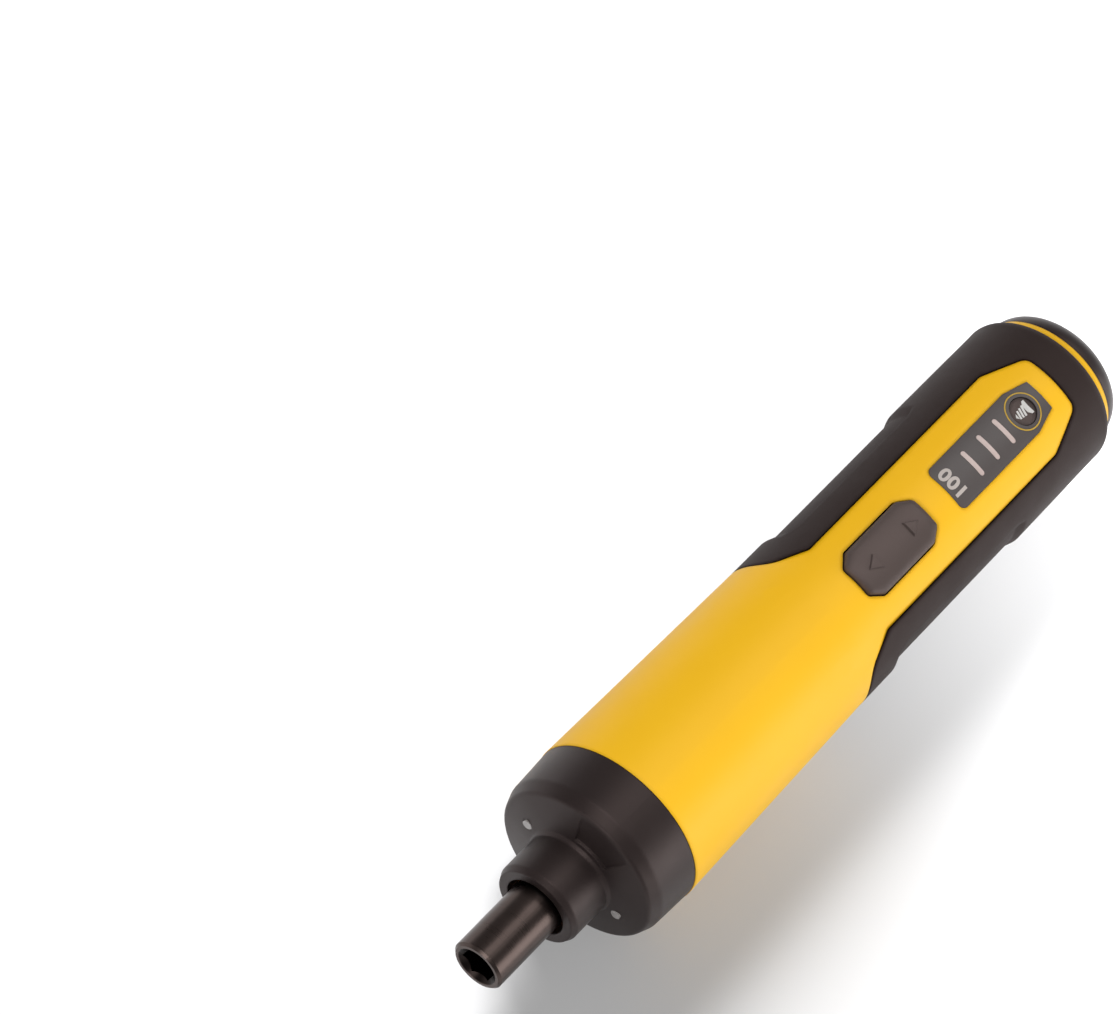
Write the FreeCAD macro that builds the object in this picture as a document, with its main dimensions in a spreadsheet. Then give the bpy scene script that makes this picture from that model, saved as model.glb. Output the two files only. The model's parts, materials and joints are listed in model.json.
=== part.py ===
import FreeCAD, Part
import Sketcher
import math
import os
import re

# Cordless electric screwdriver, in millimetres.
# The drive axis is X: the origin lies in the mouth of the bit socket and +X runs to the end cap.
# +Z is up through the rocker, so the tool lies on its underside.

SIZES = {
    # Fits
    "fit": 0.05,
    "running_gap": 0.04,
    "press_gap": 0.01,
    "seat_gap": 0.1,
    # Bit holder
    "bit_flats": 6.35,
    "socket_depth": 13.0,
    "mouth_flare": 0.5338,
    "mouth_bevel": 1.0,
    "holder_lip": 0.6,
    "holder_bevel": 0.5,
    "bit_reach": 16.4,
    "sleeve_overlap": 1.2,
    "journal_step": 0.35,
    "spigot_radius": 3.5,
    "magnet_radius": 2.5,
    "magnet_length": 3.0,
    # Nose cap and its bush
    "collar_wall": 1.31,
    "collar_bevel": 0.6,
    "collar_bevel_length": 1.2,
    "collar_length": 9.9,
    "collar_cove": 0.5,
    "mouth_clearance": 1.0,
    "mouth_depth": 3.2,
    "bush_wall": 2.4,
    "bush_recess": 0.5,
    "face_drop": 1.8,
    "face_step": 0.95,
    "face_wall": 2.0,
    "nose_bevel_length": 2.6,
    "nose_bevel_step": 0.4,
    "nose_skirt_length": 9.1,
    "skirt_wall": 1.45,
    "notch_rise": 1.25,
    "notch_reach": 6.2,
    "notch_depth": 0.5,
    "notch_fade": 0.05,
    "notch_angle": 43.0,
    "face_round": 0.9,
    "shoulder_round": 2.0,
    "collar_round": 0.5,
    # Work lights
    "light_gap": 1.45,
    "lens_radius": 1.0,
    "lens_stand": 0.15,
    "led_radius": 0.9,
    "led_height": 0.6,
    "led_board_thickness": 0.8,
    "led_board_gap": 0.8,
    # Two planetary stages with one ring gear
    "gear_module": 0.5,
    "sun_teeth": 9,
    "planet_teeth": 18,
    "planet_count": 3,
    "pressure_angle": 20.0,
    "sun_addendum_share": 1.0,
    "planet_addendum_share": 0.6,
    "ring_addendum_share": 0.6,
    "tip_clearance": 0.12,
    "tooth_thinning": 0.08,
    "ring_rim": 2.33,
    "stage_gap": 0.5,
    "output_thickness": 2.4,
    "second_face": 5.0,
    "disc_thickness": 2.0,
    "first_face": 4.5,
    "disc_margin": 2.45,
    "pin_radius": 1.25,
    "pin_stand": 0.25,
    "stub_radius": 1.1,
    "lug_length": 2.0,
    "lug_height": 1.0,
    "lug_half": 1.5,
    # Motor
    "plate_thickness": 2.0,
    "plate_screw_offset": 8.0,
    "plate_screw_radius": 1.2,
    "plate_head_radius": 2.1,
    "plate_head_height": 1.2,
    "plate_screw_grip": 2.2,
    "motor_radius": 12.2,
    "can_length": 28.0,
    "can_wall": 1.2,
    "boss_step": 0.2,
    "motor_boss_radius": 3.0,
    "bearing_radius": 2.0,
    "bearing_length": 3.2,
    "shaft_radius": 1.0,
    "magnet_wall": 1.4,
    "magnet_angle": 116.0,
    "magnet_setback": 2.5,
    "air_gap": 0.4,
    "stack_setback": 4.5,
    "pole_count": 3,
    "slot_half": 1.7,
    "slot_root": 3.4,
    "coil_overhang": 1.6,
    "coil_gap": 0.3,
    "commutator_radius": 2.8,
    "commutator_length": 4.0,
    "commutator_room": 3.4,
    "brush_half": 1.2,
    "brush_length": 3.5,
    "brush_reach": 4.2,
    "motor_cap_thickness": 2.5,
    "motor_cap_boss": 1.5,
    "motor_cap_boss_radius": 3.6,
    "terminal_offset": 6.5,
    "terminal_half": 1.4,
    "terminal_thickness": 0.5,
    "terminal_length": 4.0,
    # Housing halves
    "neck_length": 6.4,
    "neck_wall": 2.35,
    "skin_step": 0.1,
    "skin_flat": 0.1,
    "shell_wall": 2.2,
    "rib_width": 2.0,
    "rib_inset": 6.0,
    "core_wall": 1.7,
    "core_step": 0.9,
    "core_step_gap": 0.2,
    "rear_wall_start": 1.5,
    "bay_gap": 2.3,
    "rear_bay_gap": 0.6,
    "tail_room": 5.2,
    "boss_radius": 3.2,
    "screw_offset": 7.5,
    "screw_radius": 1.1,
    "screw_hole_gap": 0.25,
    "head_radius": 2.0,
    "head_height": 1.8,
    "head_seat": 7.6,
    "head_gap": 0.3,
    "screw_depth": 7.0,
    "screw_tip_room": 0.5,
    # Grip
    "grip_setback": 5.0,
    "grip_front_rubber": 1.75,
    "grip_rear_rubber": 1.45,
    "grip_round_length": 2.9,
    "grip_round": 2.6,
    "grip_end_rubber": 0.6,
    "grip_flat": 0.4,
    "groove_width": 0.3,
    "groove_depth": 0.5,
    "recess_front": 9.0,
    "recess_rear": 51.0,
    "recess_ramp": 2.8,
    "recess_floor_rubber": 0.8,
    "recess_half": 7.6,
    "recess_corner": 5.0,
    "recess_flare": 45.0,
    # Yellow tongue that runs back along the top
    "tongue_rise": 1.2,
    "tongue_settle": 8.0,
    "tongue_half": 10.2,
    "flare_over": 0.15,
    "flare_angle": 25.0,
    "flare_radius": 5.0,
    "tongue_bend": 2.0,
    "tongue_taper": 9.0,
    "tongue_tail": 4.3,
    "tail_angle": 22.7,
    "tail_round": 2.0,
    # Rocker
    "rocker_setback": 18.76,
    "rocker_length": 21.2,
    "rocker_half": 5.25,
    "rocker_corner": 3.0,
    "rocker_end_half": 3.2,
    "rocker_rise": 1.0,
    "rocker_round": 1.0,
    "rocker_edge": 0.8,
    "rocker_gap": 0.3,
    "rocker_wall": 1.2,
    "rocker_roof": 1.5,
    "rocker_hem": 1.0,
    "hinge_inset": 2.2,
    "hinge_pin_radius": 1.0,
    "hinge_pin_reach": 1.7,
    "ear_thickness": 2.4,
    "ear_half": 2.2,
    "ear_depth": 1.6,
    "ear_rise": 0.6,
    "foot_inset": 3.1,
    "foot_radius": 0.9,
    # Indicator panel with its bars and its mode button
    "panel_length": 30.4,
    "panel_gap": 6.74,
    "panel_half": 4.95,
    "panel_corner": 1.5,
    "panel_taper": 5.6,
    "panel_end_half": 3.4,
    "panel_rise": 0.05,
    "panel_thickness": 1.6,
    "bar_count": 3,
    "bar_setback": 8.6,
    "bar_button_gap": 2.36,
    "bar_half_length": 3.0,
    "bar_half_width": 0.52,
    "bar_corner": 0.5,
    "button_tail": 1.54,
    "button_radius": 2.8,
    "button_gap": 0.15,
    "button_sink": 0.35,
    "button_dish": 0.45,
    "button_rim": 0.2,
    "button_flange": 0.5,
    "button_flange_thickness": 0.8,
    "button_flange_drop": 0.9,
    "button_hole_gap": 0.3,
    "button_ring_land": 0.7,
    "button_ring_width": 0.25,
    "button_ring_depth": 0.9,
    # Control board and its switches
    "board_lift": 2.15,
    "board_thickness": 1.2,
    "board_edge_gap": 0.35,
    "switch_half": 3.0,
    "switch_height": 2.0,
    "plunger_radius": 1.5,
    "plunger_sink": 0.6,
    "plunger_room": 0.6,
    "bar_led_height": 0.8,
    "bar_led_half": 0.8,
    # Cell, charge board and charging socket
    "cell_setback": 2.5,
    "cell_length": 65.0,
    "cell_radius": 9.25,
    "cell_drop": 3.9,
    "cell_gap": 0.35,
    "tab_thickness": 0.4,
    "tab_half": 3.5,
    "tab_lap": 4.0,
    "tab_drop": 4.0,
    "accent_length": 1.46,
    "accent_step": 0.2,
    "dome_height": 9.0,
    "dome_step": 0.4,
    "dome_shoulder": 5.5,
    "cap_spigot_length": 4.0,
    "cap_wall": 1.5,
    "cap_bay_inset": 1.0,
    "cap_pocket_radius": 9.5,
    "cap_crown": 4.3,
    "port_half_width": 4.47,
    "port_half_height": 1.63,
    "port_flat": 0.23,
    "port_wall": 0.3,
    "port_length": 7.4,
    "port_sink": 0.8,
    "port_tongue_half": 3.3,
    "port_tongue_thickness": 0.7,
    "port_tongue_sink": 1.2,
    "port_back": 1.2,
    "charge_board_half": 6.5,
    "charge_board_thickness": 1.2,
    "charge_board_inset": 0.9,
    "charge_board_edge": 0.2,
    # Leads from the motor and from the charge board to the control board
    "lead_radius": 0.55,
    "lead_bend": 1.5,
    "lead_offset": 2.4,
    "lead_exit": 1.2,
    "lead_tail": 0.4,
    "lead_turn": 2.3,
    "lead_rise": 3.1,
    "lead_lap": 3.0,
    # Stock that is trimmed off again
    "crown_stock": 1.0,
    "far_radius": 30.0,
}

# Places along the axis and radii that follow from the sizes
PLACES = {
    "bit_corner": "bit_flats / sqrt(3)",
    "mouth_radius": "bit_corner + mouth_flare",
    "holder_radius": "mouth_radius + holder_lip + holder_bevel",
    "journal_radius": "holder_radius - journal_step",
    "mouth_edge": "holder_radius + mouth_clearance",
    "face_root": "bit_reach + collar_length",
    "face_edge": "face_root + face_drop",
    "bevel_end": "face_edge + nose_bevel_length",
    "body_front": "bevel_end + nose_skirt_length",
    "neck_front": "body_front - neck_length",
    "face_back": "face_edge + face_wall",
    "bush_front": "bit_reach + mouth_depth",
    "bush_rear": "face_back - bush_recess",
    "bush_bore": "journal_radius + running_gap",
    "bush_radius": "bush_bore + bush_wall",
    "collar_radius": "bush_radius + fit + collar_wall",
    "light_offset": "collar_radius + light_gap + lens_radius",
    "notch_root": "collar_radius + notch_rise",
    "notch_rim": "notch_root + notch_reach",
    "face_slope": "face_drop / (face_radius - collar_radius)",
    "notch_front": "face_root + notch_rise * face_slope",
    "notch_end": "notch_front + notch_reach * face_slope",
    "sleeve_end": "bit_reach + sleeve_overlap",
    "sun_addendum": "gear_module * sun_addendum_share",
    "planet_addendum": "gear_module * planet_addendum_share",
    "ring_addendum": "gear_module * ring_addendum_share",
    "planet_orbit": "gear_module * (sun_teeth + planet_teeth) / 2",
    "ring_pitch": "gear_module * (sun_teeth + 2 * planet_teeth) / 2",
    "ring_root": "ring_pitch + planet_addendum + tip_clearance",
    "ring_radius": "ring_root + ring_rim",
    "disc_radius": "planet_orbit + disc_margin",
    "led_board_inner": "disc_radius + led_board_gap",
    "carrier_front": "face_back + stage_gap",
    "carrier_rear": "carrier_front + output_thickness",
    "second_front": "carrier_rear + stage_gap",
    "second_rear": "second_front + second_face",
    "disc_front": "second_rear + stage_gap",
    "disc_rear": "disc_front + disc_thickness",
    "first_front": "disc_rear + stage_gap",
    "first_rear": "first_front + first_face",
    "ring_front": "face_back + led_board_thickness",
    "ring_rear": "first_rear + stage_gap",
    "can_front": "ring_rear + plate_thickness",
    "can_rear": "can_front + can_length",
    "can_bore": "motor_radius - can_wall",
    "magnet_inner": "can_bore - seat_gap - magnet_wall",
    "stack_radius": "magnet_inner - air_gap",
    "stack_front": "can_front + stack_setback",
    "commutator_front": "can_rear - commutator_length - seat_gap",
    "stack_rear": "commutator_front - commutator_room",
    "motor_cap_rear": "can_rear + motor_cap_thickness",
    "shaft_rear": "motor_cap_rear + motor_cap_boss",
    "terminal_end": "motor_cap_rear + terminal_length",
    "front_screw": "terminal_end + bay_gap + boss_radius",
    "grip_front": "front_screw + grip_setback",
    "cell_front": "grip_front + cell_setback",
    "cell_rear": "cell_front + cell_length",
    "cell_bay_rear": "cell_rear + tab_thickness + rear_bay_gap + boss_radius",
    "rear_screw": "max(cell_bay_rear; panel_rear + tail_room)",
    "grip_rear": "core_end + cap_spigot_length",
    "neck_radius": "ring_radius + fit + neck_wall",
    "skirt_bore": "neck_radius + fit",
    "skirt_radius": "skirt_bore + skirt_wall",
    "face_radius": "skirt_radius - nose_bevel_step - face_step",
    "body_radius": "skirt_radius + skin_step",
    "bay_radius": "body_radius - shell_wall",
    "rear_bay_radius": "cell_radius + cell_drop + cell_gap",
    "core_radius": "rear_bay_radius + core_wall",
    "core_end": "rear_screw + boss_radius + core_step_gap",
    "core_end_radius": "core_radius - core_step",
    "dome_radius": "core_end_radius + dome_step",
    "bay_end": "grip_front - rear_wall_start",
    "grip_front_radius": "core_radius + grip_front_rubber",
    "grip_rear_radius": "core_radius + grip_rear_rubber",
    "grip_end_radius": "core_end_radius + grip_end_rubber",
    "recess_start": "grip_front + recess_front",
    "recess_end": "grip_front + recess_rear",
    "recess_floor": "core_radius + recess_floor_rubber",
    "recess_seat": "sqrt(recess_floor ^ 2 - recess_half ^ 2)",
    "groove_floor": "tongue_radius - groove_depth",
    "flare_reach": "flare_radius * tan((90 - flare_angle) / 2)",
    "flare_half": "grip_front_radius + flare_over - flare_reach",
    "flare_end": "grip_front + (flare_half - tongue_half) / tan(flare_angle)",
    "flare_bend_reach": "tongue_bend * tan(flare_angle / 2)",
    "tail_bend_reach": "tongue_bend * tan(tail_angle / 2)",
    "tail_reach": "tail_round * tan((90 - tail_angle) / 2)",
    "tail_half": "tongue_half - tongue_taper * tan(tail_angle)",
    "tongue_radius": "core_radius + tongue_rise",
    "panel_front": "rocker_rear + panel_gap",
    "panel_rear": "panel_front + panel_length",
    "panel_radius": "tongue_radius + panel_rise",
    "panel_floor": "panel_radius - panel_thickness",
    "button_ring_radius": "button_radius + button_gap + button_ring_land + button_ring_width",
    "button_centre": "panel_rear - button_ring_radius - button_tail",
    "button_top": "panel_radius - button_sink",
    "dish_radius": "((button_radius - button_rim) ^ 2 + button_dish ^ 2) / (2 * button_dish)",
    "first_bar": "panel_front + bar_setback",
    "last_bar": "button_centre - button_ring_radius - bar_button_gap",
    "bar_pitch": "(last_bar - first_bar) / (bar_count - 1)",
    "tongue_end": "panel_rear + tongue_tail",
    "tongue_straight_end": "tongue_end - tongue_taper",
    "hinge_station": "grip_front + rocker_setback",
    "rocker_front": "hinge_station - rocker_length / 2",
    "rocker_rear": "hinge_station + rocker_length / 2",
    "hinge_height": "core_radius - hinge_inset",
    "foot_offset": "rocker_length / 2 - foot_inset",
    "rocker_radius": "tongue_radius + rocker_rise",
    "rocker_base": "hinge_height - rocker_hem",
    "rocker_ceiling": "rocker_radius - rocker_roof",
    "ear_inner": "rocker_half + rocker_gap",
    "ear_outer": "ear_inner + ear_thickness",
    "board_height": "cell_radius - cell_drop + board_lift",
    "board_top": "board_height + board_thickness",
    "board_half": "sqrt(rear_bay_radius ^ 2 - board_top ^ 2) - board_edge_gap",
    "board_front": "cell_front - tab_thickness",
    "board_rear": "rear_screw - boss_radius - rear_bay_gap",
    "lead_height": "board_top + lead_radius + press_gap",
    "lead_start": "core_end + charge_board_inset + lead_lap",
    "lead_floor": "lead_radius + press_gap - port_half_height",
    "switch_top": "board_top + switch_height",
    "plunger_base": "switch_top - plunger_sink",
    "plunger_top": "rocker_base - seat_gap",
    "flange_top": "panel_floor - button_flange_drop",
    "flange_base": "flange_top - button_flange_thickness",
    "mode_plunger_top": "flange_base - seat_gap",
    "accent_rear": "grip_rear + accent_length",
    "dome_end": "accent_rear + dome_height",
    "cap_spigot": "rear_bay_radius - fit",
    "cap_bore": "cap_spigot - cap_wall",
    "cap_bay_end": "accent_rear + cap_bay_inset",
    "cap_pocket_end": "dome_end - cap_crown",
    "port_rear": "dome_end - port_sink",
    "port_front": "port_rear - port_length",
    "port_corner": "port_half_height - port_flat",
    "port_inner_corner": "port_corner - port_wall",
    "crown_radius": "(dome_height ^ 2 + dome_radius ^ 2 - 2 * dome_radius * dome_shoulder)"
                    " / (2 * (dome_height - dome_shoulder))",
    "crown_share": "crown_radius / (crown_radius - dome_shoulder)",
    "crown_join": "dome_end - crown_radius + (crown_radius - dome_height) * crown_share",
    "crown_join_radius": "(dome_radius - dome_shoulder) * crown_share",
}

doc = FreeCAD.newDocument("ElectricScrewdriver")
sheet = doc.addObject("Spreadsheet::Sheet", "Sizes")
for row, (size_name, size_value) in enumerate(SIZES.items(), start=1):
    sheet.set("A%d" % row, str(size_value))
    sheet.setAlias("A%d" % row, size_name)
doc.recompute()

nodes = []


# Expressions and drawing

def bound(expression):
    """The expression with every named value spelled out as a reference to the sheet."""
    def spell(match):
        word = match.group(0)
        if word in SIZES:
            return "Sizes." + word
        if word in PLACES:
            return "(" + bound(PLACES[word]) + ")"
        return word
    return re.sub(r"[a-z][a-z_]*", spell, str(expression))


def value(expression):
    return float(sheet.evalExpression(bound(expression)))


def node(name, item):
    """Marks a document object as a sub-part."""
    item.Label = name
    nodes.append(item)
    return item


def new_body(name):
    body = doc.addObject("PartDesign::Body", name)
    body.AllowCompound = True
    return body


def mirrored(outline):
    """A half outline and its mirror image in the second coordinate, as one closed outline."""
    back = []
    for index in range(len(outline) - 1, -1, -1):
        first, second = outline[index][0], outline[index][1]
        before = outline[index - 1] if index else ()
        back.append((first, "-(%s)" % second) + tuple(before[2:3]))
    return list(outline) + back


def rounded_box(low, high, left, right, corner):
    """A rectangle with rounded corners, run anticlockwise."""
    return [
        ("%s + %s" % (low, corner), left),
        ("%s - %s" % (high, corner), left, corner),
        (high, "%s + %s" % (left, corner)),
        (high, "%s - %s" % (right, corner), corner),
        ("%s - %s" % (high, corner), right),
        ("%s + %s" % (low, corner), right, corner),
        (low, "%s - %s" % (right, corner)),
        (low, "%s + %s" % (left, corner), corner),
    ]


def pin_constraint(sketch, kind, geometry, point, expression):
    """Holds one coordinate of a point at an expression."""
    size = value(expression)
    if abs(size) < 1e-9:
        axis = -2 if kind == "DistanceX" else -1
        sketch.addConstraint(Sketcher.Constraint("PointOnObject", geometry, point, axis))
        return
    index = sketch.addConstraint(Sketcher.Constraint(kind, -1, 1, geometry, point, size))
    sketch.setExpression("Constraints[%d]" % index, bound(expression))


def draw_circle(sketch, across, up, radius):
    centre = FreeCAD.Vector(value(across), value(up), 0)
    circle = Part.Circle(centre, FreeCAD.Vector(0, 0, 1), value(radius))
    geometry = sketch.addGeometry(circle, False)
    pin_constraint(sketch, "DistanceX", geometry, 3, across)
    pin_constraint(sketch, "DistanceY", geometry, 3, up)
    index = sketch.addConstraint(Sketcher.Constraint("Radius", geometry, value(radius)))
    sketch.setExpression("Constraints[%d]" % index, bound(radius))


def arc_between(start, end, radius, turn):
    """An arc under half a circle; turn is 1 when its centre lies left of the way to the end."""
    chord = end - start
    left = FreeCAD.Vector(-chord.y, chord.x, 0).normalize()
    height = math.sqrt(max(radius ** 2 - (chord.Length / 2) ** 2, 0))
    centre = (start + end) * 0.5 + left * height * turn
    middle = centre - left * radius * turn
    return Part.Arc(start, middle, end)


def draw_outline(sketch, outline):
    """A closed outline of (across, up) points; a third item is the radius of the arc to the next
    point, with a minus sign before it when the arc's centre lies to the right."""
    points = [FreeCAD.Vector(value(p[0]), value(p[1]), 0) for p in outline]
    count = len(outline)
    ends = []
    for index, place in enumerate(outline):
        start, end = points[index], points[(index + 1) % count]
        if len(place) == 2:
            geometry = sketch.addGeometry(Part.LineSegment(start, end), False)
            ends.append((geometry, 1, 2))
            continue
        turn = -1 if place[2].startswith("-") else 1
        radius = place[2].lstrip("-")
        geometry = sketch.addGeometry(arc_between(start, end, value(radius), turn), False)
        first_miss = (sketch.getPoint(geometry, 1) - start).Length
        second_miss = (sketch.getPoint(geometry, 2) - start).Length
        ends.append((geometry, 1, 2) if first_miss < second_miss else (geometry, 2, 1))
        constraint = sketch.addConstraint(Sketcher.Constraint("Radius", geometry, value(radius)))
        sketch.setExpression("Constraints[%d]" % constraint, bound(radius))
    for index, place in enumerate(outline):
        before, here = ends[index - 1], ends[index]
        sketch.addConstraint(Sketcher.Constraint("Coincident", before[0], before[2], here[0], here[1]))
        pin_constraint(sketch, "DistanceX", here[0], here[1], place[0])
        pin_constraint(sketch, "DistanceY", here[0], here[1], place[1])


def draw(body, name, plane, outlines, offset="0"):
    """A sketch of closed outlines and ("circle", across, up, radius) on one of the body's planes."""
    sketch = body.newObject("Sketcher::SketchObject", name)
    support = [item for item in body.Origin.OriginFeatures if item.Role == plane][0]
    sketch.AttachmentSupport = [(support, "")]
    sketch.MapMode = "FlatFace"
    sketch.setExpression("AttachmentOffset.Base.z", bound(offset))
    for outline in outlines:
        if outline[0] == "circle":
            draw_circle(sketch, *outline[1:])
        else:
            draw_outline(sketch, outline)
    return sketch


def turn(body, name, outline, cut=False, sweep="360", below=False):
    """Turns a (station, radius) outline about the drive axis."""
    if below:
        outline = [(p[0], "-(%s)" % p[1]) + tuple(flipped(r) for r in p[2:]) for p in outline]
    sketch = draw(body, name + "Profile", "XZ_Plane", [outline])
    feature = body.newObject("PartDesign::Groove" if cut else "PartDesign::Revolution", name)
    feature.Profile = sketch
    feature.ReferenceAxis = (sketch, ["H_Axis"])
    feature.Midplane = sweep != "360"
    feature.setExpression("Angle", bound(sweep))
    return feature


def flipped(radius):
    return radius.lstrip("-") if radius.startswith("-") else "-" + radius


def raise_from(body, name, plane, outlines, start, end, cut=False):
    """Extrudes outlines along the plane's normal, from one distance to another."""
    sketch = draw(body, name + "Outline", plane, outlines, start)
    feature = body.newObject("PartDesign::Pocket" if cut else "PartDesign::Pad", name)
    feature.Profile = sketch
    feature.setExpression("Length", bound("(%s) - (%s)" % (end, start)))
    feature.Reversed = cut
    return feature


def along(body, name, outlines, start, end, cut=False):
    return raise_from(body, name, "YZ_Plane", outlines, start, end, cut)


def upright(body, name, outlines, start, end, cut=False):
    return raise_from(body, name, "XY_Plane", outlines, start, end, cut)


def sideways(body, name, outlines, reach, cut=False):
    return raise_from(body, name, "XZ_Plane", outlines, "-(%s)" % reach, reach, cut)


def trim(body, name, radius, low, high):
    """Takes off everything outside a cylinder about the drive axis."""
    ring = [(low, radius), (high, radius), (high, "far_radius"), (low, "far_radius")]
    return turn(body, name, ring, cut=True)


def soften(body, feature, name, radius, wanted):
    """Rounds those of the feature's edges that pass a test."""
    doc.recompute()
    edges = ["Edge%d" % (index + 1) for index, edge in enumerate(feature.Shape.Edges) if wanted(edge)]
    rounding = body.newObject("PartDesign::Fillet", name)
    rounding.Base = (feature, edges)
    rounding.setExpression("Radius", bound(radius))
    return rounding


def ring_at(station, radius):
    """Test for a circle about the drive axis."""
    def wanted(edge):
        if not isinstance(edge.Curve, Part.Circle):
            return False
        return (abs(edge.Curve.Center.x - value(station)) < 1e-6
                and abs(edge.Curve.Radius - value(radius)) < 1e-6)
    return wanted


def upright_edge(edge):
    """Test for a straight edge that runs up."""
    return isinstance(edge.Curve, Part.Line) and abs(edge.tangentAt(edge.FirstParameter).z) > 1 - 1e-6


def rim_of_cylinder(feature, radius):
    """Test for the edges of the faces that lie on a cylinder of this radius."""
    doc.recompute()
    rims = [edge for face in feature.Shape.Faces for edge in face.Edges
            if isinstance(face.Surface, Part.Cylinder) and abs(face.Surface.Radius - value(radius)) < 1e-6]

    def wanted(edge):
        return any(edge.isSame(rim) for rim in rims)
    return wanted


def repeat(body, feature, name, count):
    """Repeats a feature about the drive axis."""
    pattern = body.newObject("PartDesign::PolarPattern", name)
    pattern.Originals = [feature]
    axis = [item for item in body.Origin.OriginFeatures if item.Role == "X_Axis"][0]
    pattern.Axis = (axis, [""])
    pattern.Angle = 360
    pattern.setExpression("Occurrences", bound(count))
    body.Tip = pattern
    return pattern


def joined(kind, name, base, tool):
    """A boolean of two objects."""
    item = doc.addObject("Part::" + kind, name)
    item.Base = base
    item.Tool = tool
    return item


def fused(name, items):
    item = doc.addObject("Part::MultiFuse", name)
    item.Shapes = items
    return item


def sleeve(name, inner, outer, start, end):
    body = node(name, new_body(name))
    along(body, name + "Wall", [("circle", "0", "0", outer), ("circle", "0", "0", inner)], start, end)
    return body


def pair(offset, radius):
    """Two circles, one each side of the drive axis."""
    return [("circle", offset, "0", radius), ("circle", "-(%s)" % offset, "0", radius)]


def round_orbit(radius):
    """Circles at the planets' places."""
    step = 360 / SIZES["planet_count"]
    circles = []
    for index in range(SIZES["planet_count"]):
        across = "planet_orbit * cos(%s)" % (90 + step * index)
        up = "planet_orbit * sin(%s)" % (90 + step * index)
        circles.append(("circle", across, up, radius))
    return circles


# Gear teeth

def involute(angle):
    return math.tan(angle) - angle


def half_tooth(teeth, radius, thinning):
    """Half the angle that a tooth spans at a radius."""
    module = value("gear_module")
    pressure = math.radians(value("pressure_angle"))
    pitch = module * teeth / 2
    base = pitch * math.cos(pressure)
    here = math.acos(min(base / radius, 1.0))
    return math.pi / (2 * teeth) - thinning / (2 * pitch) + involute(pressure) - involute(here)


def polar(radius, angle):
    return FreeCAD.Vector(0, radius * math.cos(angle), radius * math.sin(angle))


def tooth_wire(teeth, root, tip, thinning):
    """A ring of teeth in the YZ plane, with one tooth centred on the Y axis."""
    pitch = value("gear_module") * teeth / 2
    base = pitch * math.cos(math.radians(value("pressure_angle")))
    low = min(root, tip)
    high = max(root, tip)
    foot = max(low, base)
    middle = (foot + high) / 2
    step = 2 * math.pi / teeth
    edges = []
    for index in range(teeth):
        centre = index * step
        rise = [polar(r, centre - half_tooth(teeth, r, thinning)) for r in (foot, middle, high)]
        fall = [polar(r, centre + half_tooth(teeth, r, thinning)) for r in (high, middle, foot)]
        root_angle = half_tooth(teeth, foot, thinning)
        if foot > low:
            edges.append(Part.LineSegment(polar(low, centre - root_angle), rise[0]))
        edges.append(Part.Arc(*rise))
        edges.append(Part.Arc(rise[2], polar(high, centre), fall[0]))
        edges.append(Part.Arc(*fall))
        if foot > low:
            edges.append(Part.LineSegment(fall[2], polar(low, centre + root_angle)))
        gap_start = polar(low, centre + root_angle)
        gap_end = polar(low, centre + step - root_angle)
        edges.append(Part.Arc(gap_start, polar(low, centre + step / 2), gap_end))
    return Part.Wire([edge.toShape() for edge in edges])


def round_wire(radius):
    return Part.Wire([Part.makeCircle(radius, FreeCAD.Vector(0, 0, 0), FreeCAD.Vector(1, 0, 0))])


def extruded(outer, inner, length):
    face = Part.makeFace([outer, inner], "Part::FaceMakerBullseye")
    return face.extrude(FreeCAD.Vector(length, 0, 0))


def gear(name, shape, place, angle):
    """A gear as a document object, turned into mesh and then put in its place."""
    item = node(name, doc.addObject("Part::Feature", name))
    item.Shape = shape
    item.Placement = FreeCAD.Placement(place, FreeCAD.Rotation(FreeCAD.Vector(1, 0, 0), math.degrees(angle)))
    return item


def planet_turn(orbit_angle):
    """The angle at which a planet's teeth enter the ring gear's gaps."""
    planet, ring = SIZES["planet_teeth"], SIZES["sun_teeth"] + 2 * SIZES["planet_teeth"]
    return orbit_angle - math.pi / planet - ring / planet * orbit_angle


def sun_turn(orbit_angle):
    """The angle at which a sun's teeth enter the gaps of the planet on this orbit angle."""
    planet, sun = SIZES["planet_teeth"], SIZES["sun_teeth"]
    facing = planet * (orbit_angle + math.pi - planet_turn(orbit_angle)) / (2 * math.pi)
    return orbit_angle - 2 * math.pi / sun * (0.5 - facing)


# Drive: bit holder, output carrier, planets and first carrier

def bit_holder():
    body = node("bit_holder", new_body("bit_holder"))
    turn(body, "HolderBar", [
        ("0", "0"),
        ("0", "holder_radius - holder_bevel"),
        ("holder_bevel", "holder_radius"),
        ("sleeve_end", "holder_radius"),
        ("sleeve_end", "journal_radius"),
        ("carrier_front", "journal_radius"),
        ("carrier_front", "spigot_radius"),
        ("carrier_rear", "spigot_radius"),
        ("carrier_rear", "0"),
    ])
    flat, point = "bit_flats / 2", "bit_corner"
    hexagon = [
        (flat, "-%s / 2" % point), (flat, "%s / 2" % point), ("0", point),
        ("-%s" % flat, "%s / 2" % point), ("-%s" % flat, "-%s / 2" % point), ("0", "-%s" % point),
    ]
    along(body, "BitSocket", [hexagon], "0", "socket_depth", cut=True)
    along(body, "MagnetBore", [("circle", "0", "0", "magnet_radius + fit")],
          "socket_depth", "socket_depth + magnet_length", cut=True)
    turn(body, "SocketMouth", [
        ("0", "0"),
        ("0", "mouth_radius"),
        ("mouth_bevel", "mouth_radius - mouth_bevel"),
        ("mouth_bevel", "0"),
    ], cut=True)


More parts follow.
